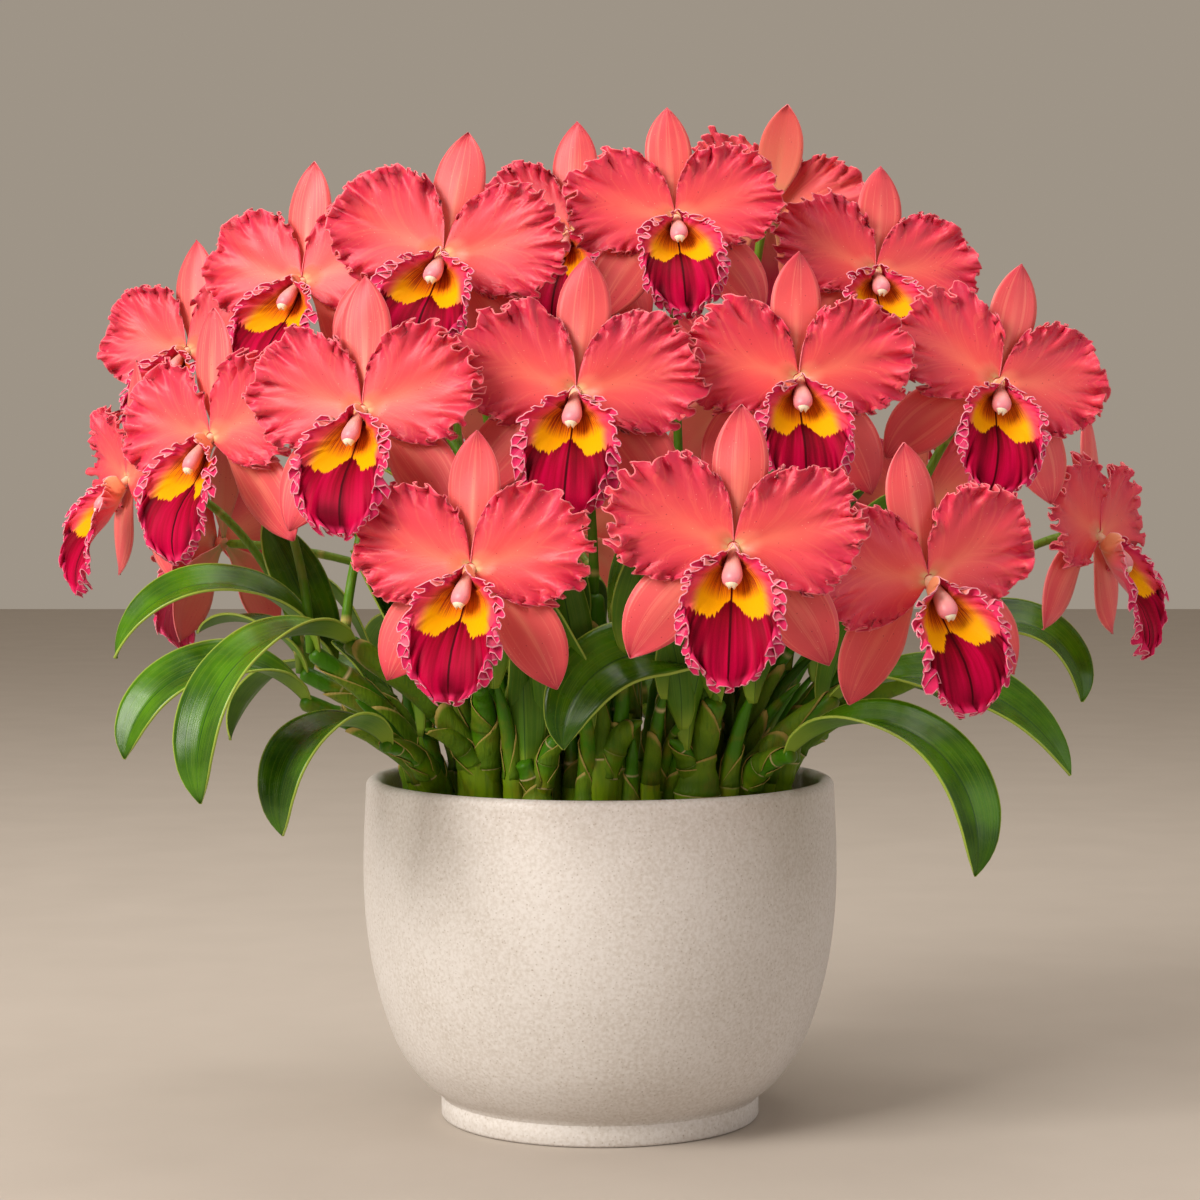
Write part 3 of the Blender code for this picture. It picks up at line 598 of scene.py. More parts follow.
def copy_of(piece: Piece, name: str) -> Piece:
    """A copy with its own mesh.

    Args:
        piece: what is copied.
        name: the copy's name.

    Returns:
        The copy, linked to the scene.
    """
    made = piece.copy()
    made.data = piece.data.copy()
    made.name = made.data.name = name
    bpy.context.scene.collection.objects.link(made)
    return made


def flat(piece: Piece) -> Array:
    """The X and Y of each point of a grid that isn't laid out yet."""
    return vectors(piece.data.vertices, "co").T[:2]


def only(*pieces: Piece) -> None:
    """Selects these pieces and no others.

    Args:
        pieces: the pieces; the first becomes the active one.
    """
    bpy.ops.object.select_all(action="DESELECT")
    for piece in pieces:
        piece.select_set(True)
    bpy.context.view_layer.objects.active = pieces[0]


@contextmanager
def editing(piece: Piece) -> Iterator[None]:
    """Goes into edit mode with all of a piece selected, and comes out again.

    Args:
        piece: the piece, which is edited alone.
    """
    only(piece)
    bpy.ops.object.mode_set(mode="EDIT")
    bpy.ops.mesh.select_all(action="SELECT")
    yield
    bpy.ops.object.mode_set(mode="OBJECT")


def settle(piece: Piece, spots: Array, lay: Sequence, fold: Array | float = 0.0, tone: float = 0.5) -> Piece:
    """Lays a piece's points out, gives them what its finish reads, and welds those that meet.

    Args:
        piece: the mesh to lay out.
        spots: the place of each point, in mm.
        lay: three values for each point: how far across and along it is, and how near the rim.
        fold: how deep in a fold each point is, or how far into a scar.
        tone: the piece's own lightness, from 0 to 1.

    Returns:
        The piece.
    """
    mesh = piece.data
    mesh.vertices.foreach_set("co", (np.asarray(spots) * MM).ravel())
    count = len(mesh.vertices)
    mesh.attributes.new("lay", "FLOAT_VECTOR", "POINT").data.foreach_set(
        "vector", np.stack([np.broadcast_to(v, count) for v in lay], 1).ravel())
    for key, value in (("fold", fold), ("tone", tone)):
        mesh.attributes.new(key, "FLOAT", "POINT").data.foreach_set("value", np.full(count, value))
    mesh.update()
    with editing(piece):
        bpy.ops.mesh.remove_doubles(threshold=WELD)
    return piece


def thicken(piece: Piece, thickness: float, front: Finish, back: Finish) -> Piece:
    """Gives a sheet its wall and its finishes.

    Args:
        piece: the sheet.
        thickness: the wall's thickness in mm.
        front: the finish on the side that its normals face.
        back: the finish on the other side.

    Returns:
        The piece.
    """
    for finish in (front, back):
        piece.data.materials.append(finish.material())
    only(piece)
    wall = piece.modifiers.new("wall", "SOLIDIFY")
    wall.thickness = thickness * MM
    wall.offset = 0
    wall.material_offset = 1
    bpy.ops.object.modifier_apply(modifier=wall.name)
    bpy.ops.object.shade_smooth()
    return piece


def dress(piece: Piece, finish: Finish, angle: float = 60) -> Piece:
    """Gives a closed piece its finish and smooth shading, with faces outwards.

    Args:
        piece: the closed piece.
        finish: its finish.
        angle: the sharpest corner that is shaded as smooth, in degrees.

    Returns:
        The piece.
    """
    piece.data.materials.append(finish.material())
    with editing(piece):
        bpy.ops.mesh.normals_make_consistent(inside=False)
    bpy.ops.object.shade_smooth_by_angle(angle=math.radians(angle))
    return piece


def joined(pieces: list[Piece], name: str) -> Piece:
    """Joins pieces into one.

    Args:
        pieces: what is joined.
        name: what it is called then.

    Returns:
        The piece.
    """
    only(*pieces)
    if len(pieces) > 1:
        bpy.ops.object.join()
    pieces[0].name = pieces[0].data.name = name
    return pieces[0]


def finished(piece: Piece, slot: str, *nodes: str, matrix: Matrix | None = None) -> None:
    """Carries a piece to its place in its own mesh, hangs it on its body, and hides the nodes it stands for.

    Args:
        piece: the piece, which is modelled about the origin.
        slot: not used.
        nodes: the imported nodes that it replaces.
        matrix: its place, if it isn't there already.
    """
    if matrix is not None:
        piece.matrix_world = matrix
        only(piece)
        bpy.ops.object.transform_apply(location=True, rotation=True, scale=True)
    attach(piece, BODY)
    if nodes:
        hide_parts(*nodes)
    LOG.info("%s: %d faces", piece.name, len(piece.data.polygons))


def frames_along(line: Array) -> tuple[Array, Array, Array]:
    """Sets a frame at each point of a line, turned as little as can be from one to the next.

    Args:
        line: the points, in order.

    Returns:
        The line's direction at each point, and two directions square to it.
    """
    ways = np.gradient(line, axis=0)
    ways /= np.linalg.norm(ways, axis=1)[:, None]
    sides = np.zeros_like(line)
    sides[0] = np.cross(ways[0], (0.3, 1, 0.1))
    for i in range(1, len(line)):
        sides[i] = sides[i - 1] - ways[i] * (sides[i - 1] @ ways[i])
        sides[i] /= np.linalg.norm(sides[i])
    sides[0] /= np.linalg.norm(sides[0])
    return ways, sides, np.cross(ways, sides)


def tube(name: str, line: Array, radii: Array, sides: int, finish: Finish, scars: Array | float = 0.0,
         squash: float = 1.0) -> Piece:
    """A closed round stem: a grid wrapped about a line of points.

    Args:
        name: the piece's name.
        line: the points of its middle in mm, one for each ring.
        radii: each ring's radius in mm; the first and last are closed to a point.
        sides: corners round it.
        finish: its finish.
        scars: for each ring, how much of a scar it is.
        squash: its depth as a share of its width.

    Returns:
        The stem.
    """
    line = np.asarray(line, float)
    rings = len(line)
    made = grid(name, sides, rings - 1)
    x, y = flat(made)
    ring = np.rint((y + 1) / 2 * (rings - 1)).astype(int)
    _, side, up = frames_along(line)
    radii = np.array(radii, float)
    radii[0] = radii[-1] = 0
    turn = math.pi * x
    out = np.cos(turn)[:, None] * side[ring] + squash * np.sin(turn)[:, None] * up[ring]
    spots = line[ring] + out * radii[ring][:, None]
    settle(made, spots, (np.cos(turn), ring / (rings - 1), np.sin(turn)), np.broadcast_to(scars, rings)[ring])
    return dress(made, finish)


# Blooms

@dataclass(frozen=True)
class Seat:
    """A flower's place in mm, its turn, nod and lean in degrees, and its size."""

    x: float
    y: float
    z: float
    turn: float
    nod: float = 0
    lean: float = 0
    size: float = 1.0

    def matrix(self) -> Matrix:
        """Works out the flower's place.

        Returns:
            It as a matrix, in metres.
        """
        place = Matrix.Translation(Vector((self.x, self.y, self.z)) * MM)
        turned = Matrix.Rotation(math.radians(self.turn), 4, "Z")
        nodded = Matrix.Rotation(math.radians(self.nod), 4, "X")
        leant = Matrix.Rotation(math.radians(self.lean), 4, "Y")
        return place @ turned @ nodded @ leant @ Matrix.Scale(self.size, 4)


SEATS = {f"{place:02d}": Seat(*row) for place, row in enumerate((
    (-63, -178, 307, -14, 0, 2, 0.95),
    (64, -203, 318, -3, 0, 2, 0.97),
    (162, -163, 301, 22, 2, -8, 0.96),
    (-119, -135, 385, -18, -4, -3, 0.97),
    (-12, -140, 394, -4, -4, 3, 0.98),
    (100, -125, 401, 7, -4, 3, 0.92),
    (205, -92, 400, 12, -3, 15, 0.92),
    (-203, -75, 372, -35, 0, -4, 0.96),
    (-260, 10, 350, -62, 2, 0, 0.92),
    (-236, 75, 423, -28, -6, -6, 0.94),
    (-163, 5, 458, -25, -8, 0, 0.97),
    (-82, -70, 467, -8, -10, 7, 0.99),
    (-17, 35, 487, -14, -8, 0, 0.92),
    (40, -50, 488, 3, -12, -2, 0.90),
    (149, -12, 462, 12, -12, 8, 0.90),
    (96, 55, 499, 165, -14, -12, 0.90),
    (273, 0, 319, 58, 2, 4, 0.95),
    (-224, 116, 312, -125, 0, 0, 0.92),
    (-20, 195, 318, 178, 0, 0, 0.98),
    (190, 128, 332, 132, 0, 0, 0.98),
    (-95, 142, 410, -160, -6, 0, 0.98),
    (92, 142, 405, 162, -6, 0, 0.98),
), 1)}


class Hand(Enum):
    """Which side of the flower a petal or sepal is on, seen from the front."""

    LEFT = -1
    RIGHT = 1


@dataclass(frozen=True)
class Ripples:
    """One size of ripple: its length and height in mm, and how far in from the margin it reaches.

    Its crests also curl sideways and spread outwards, by these shares of its height.
    """

    pitch: float
    height: float
    reach: float
    curl: float = 0.0
    spread: float = 0.0


@dataclass
class Petal:
    """The broad side petal: a fan from its base, with a folded, frilled margin. Sizes in mm."""

    length: float = 66.0
    root: float = 3.0
    axis: float = math.radians(17.5)
    fan: float = math.radians(67)
    fullness: tuple[float, float] = (0.65, 0.45)
    thickness: float = 0.55
    depth: float = -1.0
    keel: float = 2.2
    lobe: float = 4.6  # of the frill
    notch: float = 1.6
    ripples: tuple[Ripples, ...] = (Ripples(25, 2.6, 32, 0.2, 0.3), Ripples(10.5, 2.6, 17, 0.5, 0.5),
                                    Ripples(6.0, 1.8, 8, 0.6, 0.7))

    def margin(self, rng: Random, droop: float) -> tuple[Array, Array, float]:
        """The margin as evenly spaced stations.

        Args:
            rng: the source of its chance values.
            droop: how far the whole petal turns, in radians.

        Returns:
            How far along the margin each is, from 0 to 1; a row for each of its ray, its angle, its radius
            and the margin's heading; and the margin's length.
        """
        ray = np.sin(np.linspace(-math.pi / 2, math.pi / 2, 900))
        full = np.where(ray > 0, self.fullness[1], self.fullness[0])
        radius = np.maximum(self.length * np.clip(np.cos(ray * math.pi / 2), 0, 1) ** full, self.root)
        angle = self.axis + droop + ray * self.fan
        path = np.stack([radius * np.cos(angle), radius * np.sin(angle)], 1)
        place = travelled(path)
        jag = sum(rng.normal(0, 0.016) * np.sin(math.tau * (k * place / place[-1] + rng.random()))
                  for k in (3, 5, 8, 13, 21))
        radius = radius * (1 + jag * smooth(18, 40, radius))
        way = np.gradient(path, axis=0)
        rows = np.column_stack([ray, angle, radius, np.arctan2(way[:, 1], way[:, 0])])
        return place / place[-1], rows, place[-1]

    def build(self, sheet: Piece, hand: Hand, cup: float, droop: float, seed: int, tone: float) -> Piece:
        """Lays a petal out from a copy of the flat sheet.

        Args:
            sheet: the flat sheet that all petals share.
            hand: the petal's side.
            cup: how far its margin comes back, in mm.
            droop: how far it turns, in radians.
            seed: for its chance values.
            tone: the bloom's lightness.

        Returns:
            The petal.
        """
        rng = np.random.default_rng(seed)
        made = copy_of(sheet, "petal")
        x, y = flat(made)
        # The fan runs the other way on the right, so that both fronts face the viewer
        along = (1 - hand.value * x) / 2
        out = 1 - (1 - (y + 1) / 2) ** 1.15
        place, rows, length = self.margin(rng, droop)
        ray, angle, radius, heading = between(along, place, rows).T
        free = smooth(14, 36, out * radius)  # the inner edges lie still
        away = (1 - out) * radius
        radius = radius - self.notch * notches(rng, along, length, self.lobe) * smooth(11, 0, away) * free
        reach = np.maximum(out * radius, self.root)
        spread = np.stack([reach * np.cos(angle), reach * np.sin(angle)], 1)
        # The folds bend as they run in from the margin
        swept = 0.5 + (along - 0.5) * (1 + 0.55 * (1 - out))
        swept += 0.03 * (1 - out) * np.sin(math.tau * (rng.uniform(1.5, 3) * along + rng.random()))
        fold = np.zeros_like(out)
        back = self.depth + cup * out**2 + self.keel * np.exp(-(ray * 3) ** 2) * 4 * out * (1 - out)
        for size in self.ripples:
            wave, lean = ripple(rng, swept, length, size.pitch)
            grown = smooth(size.reach, 0, away) ** 1.2 * free
            back = back + size.height * wave * grown
            sideways = size.curl * size.height * lean * grown
            spread += sideways[:, None] * np.stack([np.cos(heading), np.sin(heading)], 1)
            outwards = size.spread * size.height * wave * grown
            spread += outwards[:, None] * np.stack([np.cos(angle), np.sin(angle)], 1)
            fold = fold + wave * size.height / self.ripples[0].height * grown**0.7
        drift = 2.2 * np.sin(3.1 * ray + rng.uniform(0, 6)) * out * free
        spots = np.stack([spread[:, 0] * hand.value, back + drift, spread[:, 1]], 1)
        settle(made, spots, (ray, out, 1 - away / HEM_SCALE), fold, tone)
        return thicken(made, self.thickness, PETAL, PETAL_BACK)


@dataclass
class Sepal:
    """A sepal: a smooth strap that bends in its own plane, with its tip curved back. Sizes in mm."""

    length: float
    width: float
    recurve: float
    root: float = 3.0
    depth: float = 4.0
    dish: float = 1.5
    keel: float = 1.2
    wave: float = 0.7
    thickness: float = 0.7
    outline: tuple = ((0, 0.13), (0.10, 0.26), (0.25, 0.60), (0.42, 0.92), (0.57, 1.0), (0.72, 0.90),
                      (0.84, 0.66), (0.93, 0.36), (0.98, 0.13), (1.0, 0.01))

    def build(self, heading: float, bend: float, seed: int, tone: float) -> Piece:
        """Lays a sepal out.

        Args:
            heading: the way it sets off, in radians from the flower's right.
            bend: how far it turns along its length.
            seed: for its chance values.
            tone: the bloom's lightness.

        Returns:
            The sepal.
        """
        rng = np.random.default_rng(seed)
        made = grid("sepal", 10, 22)
        x, y = flat(made)
        along, t = (y + 1) / 2, -x  # across is turned about so that the front faces the viewer
        half = self.width / 2 * through(self.outline, along)[:, 0]
        chord = np.sinc(bend * along / 2 / math.pi)
        mid, aim = heading + bend * along / 2, heading + bend * along
        run = self.root + (self.length - self.root) * along * chord
        back = self.depth + self.recurve * along**2 + self.dish * t * t * np.sin(math.pi * along)
        back -= self.keel * np.exp(-(t * 4) ** 2) * smooth(0, 0.3, along) * (1 - along)
        back += self.wave * np.sin(7 * along + 2 * t + rng.uniform(0, 6)) * smooth(0.2, 0.8, along)
        edge = t * half
        spots = np.stack([run * np.cos(mid) - edge * np.sin(aim), back,
                          run * np.sin(mid) + edge * np.cos(aim)], 1)
        rim = np.maximum(np.abs(t), smooth(0.9, 1.0, along))
        settle(made, spots, (t, along, rim), 0.3 * np.sin(9 * t), tone)
        return thicken(made, self.thickness, SEPAL, SEPAL_BACK)


@dataclass
class Lip:
    """The lip: a tube rolled round the column that opens into a broad, frilled front lobe. Sizes in mm."""

    # How far along, how far forward, how high, half the width, and how many degrees each half curls up
    stations: tuple = (
        (-0.14, 1.5, -6.0, 9.5, 150), (0.00, 5.4, -11.4, 14.5, 150), (0.14, 8.3, -17.0, 19.0, 100),
        (0.28, 14.0, -24.5, 23.5, 77), (0.42, 21.3, -31.0, 25.5, 57), (0.56, 28.3, -38.3, 26.5, 37),
        (0.70, 33.3, -47.5, 25.5, 15), (0.85, 35.3, -57.8, 22.0, 2), (1.00, 33.0, -68.0, 11.0, -10))
    # How far along, and how far the rim flares there: outwards, forward and up
    flare: tuple = ((-0.14, -1.0, 1, 4), (0, -2.0, 0, 7), (0.14, 0.5, 0, 5), (0.28, 2.5, 1, 4),
                    (0.42, 2.5, 1, 2.5), (0.56, 1, 0, 1), (0.7, 0, 0, 0), (1, 0, 0, 0))
    thickness: float = 0.5
    lobe: float = 4.0
    notch: float = 0.8
    ripples: tuple[Ripples, ...] = (Ripples(19, 1.6, 24, 0, 0.2), Ripples(6.2, 2.3, 7.5, 0.8, -0.9),
                                    Ripples(3.9, 0.7, 4, 0.5, -0.8))

    def surface(self, across: Array, along: Array) -> tuple[Array, Array]:
        """Places on the lip, and which way it faces there.

        Args:
            across: from -1 to 1, side to side.
            along: from -0.14 where its claw leaves the flower, and 0 at its throat, to 1 at its tip.

        Returns:
            The places in mm, and unit vectors towards the lip's inside.
        """
        forward, height, half, curl = through(self.stations, along).T
        ahead, behind = through(self.stations, along + 0.02), through(self.stations, along - 0.02)
        run = np.stack([behind[:, 0] - ahead[:, 0], ahead[:, 1] - behind[:, 1]], 1)
        run /= np.linalg.norm(run, axis=1)[:, None]
        curl = np.radians(curl)
        curl = np.where(np.abs(curl) > 1e-3, curl, 1e-3)
        radius, turn = half / curl, curl * across
        rise = radius * (1 - np.cos(turn))
        spots = np.stack([radius * np.sin(turn), -forward + run[:, 1] * rise, height - run[:, 0] * rise], 1)
        aside, ahead, above = through(self.flare, along).T * smooth(0.4, 1, np.abs(across)) ** 1.2
        spots += np.stack([aside * np.sign(across), -ahead, above], 1)
        facing = np.stack([-np.sin(turn), run[:, 1] * np.cos(turn), -run[:, 0] * np.cos(turn)], 1)
        return spots, facing

    def build(self, sheet: Piece, seed: int, tone: float) -> Piece:
        """Lays a lip out from a copy of the flat sheet, as a fan from its base to its margin.

        Args:
            sheet: the flat sheet that all lips share.
            seed: for its chance values.
            tone: the bloom's lightness.

        Returns:
            The lip.
        """
        rng = np.random.default_rng(seed)
        made = copy_of(sheet, "lip")
        x, y = flat(made)
        angle = np.linspace(-math.pi / 2, math.pi / 2, 700)
        power = 2 / 3.6
        rim_across = np.sign(np.sin(angle)) * np.abs(np.sin(angle)) ** power
        claw = self.stations[0][0]
        rim_along = np.clip(np.cos(angle), 0, 1) ** power
        path, _ = self.surface(rim_across, claw + (1 - claw) * rim_along)
        place = travelled(path)
        length = place[-1]
        heading = np.gradient(path, axis=0)
        heading /= np.linalg.norm(heading, axis=1)[:, None]
        margin = (1 - x) / 2
        out = 1 - (1 - (y + 1) / 2) ** 1.15
        base, _ = self.surface(np.zeros(1), np.full(1, claw))
        far = np.interp(margin * length, place, np.linalg.norm(path - base, axis=1))
        away = (1 - out) * far
        free = smooth(0.02, 0.09, margin) * smooth(0.98, 0.91, margin)
        cut = 1 - self.notch / far * notches(rng, margin, length, self.lobe) * smooth(8, 0, away) * free
        rim = np.column_stack([rim_across, rim_along])
        across, along = out * cut * between(margin * length, place, rim).T
        along = claw + (1 - claw) * along
        side = between(margin * length, place, heading)
        spots, facing = self.surface(across, along)
        outwards = np.cross(side, facing)
        fold = np.zeros_like(out)
        for size in self.ripples:
            wave, lean = ripple(rng, margin, length, size.pitch)
            grown = smooth(size.reach, 0, away) ** 1.2 * free
            spots = spots + (facing + size.spread * outwards) * (size.height * wave * grown)[:, None]
            spots = spots + side * (size.curl * size.height * lean * grown)[:, None]
            fold = fold + wave * grown
        settle(made, spots, (across, along, 1 - away / HEM_SCALE), fold, tone)
        return thicken(made, self.thickness, LIP, LIP_BACK)


@dataclass
class Column:
    """The column over the lip: a hooded, waxy finger with a pale anther cap at its tip. Sizes in mm."""

    pitch: float = math.radians(41)
    length: float = 27.0
    shape: tuple = ((0.0, 3.2), (0.2, 3.1), (0.42, 3.7), (0.65, 4.9), (0.82, 5.4), (0.94, 4.7), (1.0, 3.2))
    hood: float = 1.2
    squash: float = 0.8  # its depth as a share of its width
    sides: int = 14
    cap_radius: float = 3.2
    cap_place: float = 0.97  # as a share of the length
    cap_scale: tuple[float, float, float] = (1.05, 0.75, 0.8)
    cap_lobes: float = 0.9

    def build(self) -> list[Piece]:
        """Models the column and its cap.

        Returns:
            The two pieces.
        """
        aim = np.array([0, -math.cos(self.pitch), -math.sin(self.pitch)])
        share = np.concatenate([[-0.02], np.linspace(0, 1, 13), [1.015]])
        hood = self.hood * np.sin(math.pi * np.clip(share, 0, 1))[:, None] * np.array([0, -aim[2], aim[1]])
        line = share[:, None] * self.length * aim - hood
        radii = through(self.shape, np.clip(share, 0, 1))[:, 0]
        finger = tube("column", line, radii, self.sides, COLUMN, squash=self.squash)
        bpy.ops.object.select_all(action="DESELECT")
        tip = aim * self.length * self.cap_place * MM
        bpy.ops.mesh.primitive_uv_sphere_add(segments=self.sides, ring_count=8, radius=self.cap_radius * MM,
                                             location=tip)
        cap = bpy.context.object
        cap.scale = self.cap_scale
        bpy.ops.object.transform_apply(location=True, rotation=True, scale=True)
        spots = vectors(cap.data.vertices, "co") / MM
        low = smooth(tip[2] / MM, tip[2] / MM - 3, spots[:, 2])
        spots[:, 2] += low * self.cap_lobes * np.cos(spots[:, 0] * 2.4)
        settle(cap, spots, (0, low, 0))
        return [finger, dress(cap, ANTHER)]


@dataclass
class Bloom:
    """A whole flower at its seat: sepals, petals and column in one piece, and the lip in another."""

    number: str
    seat: Seat
    petal: Petal = field(default_factory=Petal)
    lip: Lip = field(default_factory=Lip)
    column: Column = field(default_factory=Column)
    # Degrees: the petals' droop, the upper sepal's lean and bend, and how the lower sepals set off and bend
    droop: float = 3
    lean: float = 5
    bend: float = 8
    splay: float = 56
    splay_sway: float = 3
    splay_bend: float = 33
    # The base that joins them: how far back each ring lies, and its radius
    hub: tuple = ((5.2, 0), (4.9, 2.6), (4, 4.6), (2, 5.2), (0, 4.2), (-0.9, 2.6), (-1, 0))

    def build(self, petal_sheet: Piece, lip_sheet: Piece) -> None:
        """Models the flower and carries it to its seat.

        Args:
            petal_sheet: the flat sheet that petals start from.
            lip_sheet: the one that lips start from.
        """
        count = int(self.number)
        sway, other = math.sin(2.4 * count), math.cos(3.7 * count)
        tone = (count * 0.618) % 1
        pieces = []
        for hand in Hand:
            seed = 100 * count + hand.value
            droop = math.radians(self.droop) * sway * hand.value
            pieces.append(self.petal.build(petal_sheet, hand, other * hand.value, droop, seed, tone))
        dorsal = Sepal(71, 28, 5 * (1 + 0.6 * other))
        pieces.append(dorsal.build(math.radians(90 + self.lean * sway), math.radians(-self.bend * sway),
                                   count, tone))
        lateral = Sepal(77, 34, 4)
        for hand in Hand:
            heading = math.radians(-90 + hand.value * (self.splay + self.splay_sway * other))
            seed = count + 50 * (3 + hand.value)
            pieces.append(lateral.build(heading, math.radians(-self.splay_bend * hand.value), seed, tone))
        pieces += self.column.build()
        depths, radii = zip(*self.hub)
        pieces.append(tube("hub", [(0, depth, 0) for depth in depths], radii, self.column.sides, SEPAL_BACK))
        matrix = self.seat.matrix()
        flower = joined(pieces, f"bloom_{self.number}_tepals")
        finished(flower, "petal", f"bloom_{self.number}", matrix=matrix)
        lobe = joined([self.lip.build(lip_sheet, count + 700, tone)], f"bloom_{self.number}_lip")
        finished(lobe, "lip", f"lip_{self.number}", matrix=matrix)


# Growths

@dataclass(frozen=True)
class Leaf:
    """A leaf: its heading and how far that turns, its slopes at base and tip, its size in mm and its roll."""

    heading: float
    turn: float
    rise: float
    fall: float
    length: float
    width: float
    roll: float = 0
    thickness: float = 1.3
    stalk: float = 3.2
    fold: tuple[float, float] = (38, 16)  # degrees that each half rises, at the base and from the middle on
    wave: float = 0.9
    groove: float = 0.5
    outline: tuple = ((0, 0.04), (0.05, 0.25), (0.15, 0.47), (0.3, 0.64), (0.5, 0.735), (0.66, 0.71),
                      (0.8, 0.58), (0.9, 0.385), (0.96, 0.19), (1, 0.01))
    cells: tuple[int, int] = (12, 36)

    def build(self, start: Array) -> Piece:
        """Lays the leaf out from where it leaves its cane.

        Args:
            start: that point, in mm.

        Returns:
            The leaf.
        """
        made = grid("leaf", *self.cells)
        x, y = flat(made)
        steps = self.cells[1]
        step = np.rint((y + 1) / 2 * steps).astype(int)
        s = np.arange(steps + 1) / steps
        heading = np.radians(self.heading + self.turn * s)
        slope = np.radians(self.rise + (self.fall - self.rise) * s)
        ways = np.stack([np.cos(heading) * np.cos(slope), np.sin(heading) * np.cos(slope), np.sin(slope)], 1)
        level = np.stack([np.sin(heading), -np.cos(heading), 0 * s], 1)
        roll = (math.radians(self.roll) * smooth(0, 0.4, s))[:, None]
        sides = level * np.cos(roll) + np.cross(ways, level) * np.sin(roll)
        strides = np.cumsum(ways[:-1] * self.length / steps, axis=0)
        line = np.array(start) + np.concatenate([np.zeros((1, 3)), strides])
        half = self.width / 2 * through(self.outline, s)[:, 0] + self.stalk * (1 - s) ** 3
        fold = np.radians(self.fold[0] - (self.fold[0] - self.fold[1]) * smooth(0, 0.5, s))
        ups = np.cross(sides, ways)
        lift = np.sqrt(x * x + 0.004) - 0.063  # the halves rise from a narrow midrib
        wave = self.wave * np.sin(9 * s[step] + self.length) * x * np.abs(x) * smooth(0.1, 0.5, s[step])
        groove = self.groove * np.exp(-(x * 14) ** 2) * (1 - s[step])
        high = half[step] * lift * np.sin(fold[step]) + wave - groove
        wide = half[step] * x * np.cos(fold[step])
        spots = line[step] + high[:, None] * ups[step] + wide[:, None] * sides[step]
        settle(made, spots, (x, s[step], np.maximum(np.abs(x), smooth(0.985, 1, s[step]))))
        return thicken(made, self.thickness, LEAF, LEAF_UNDER)


@dataclass(frozen=True)
class Cane:
    """A pseudobulb: its top and girth in mm, and the leaves and blooms that it carries."""

    top: tuple[float, float, float]
    girth: float
    leaves: tuple[Leaf, ...] = ()
    blooms: tuple[str, ...] = ()


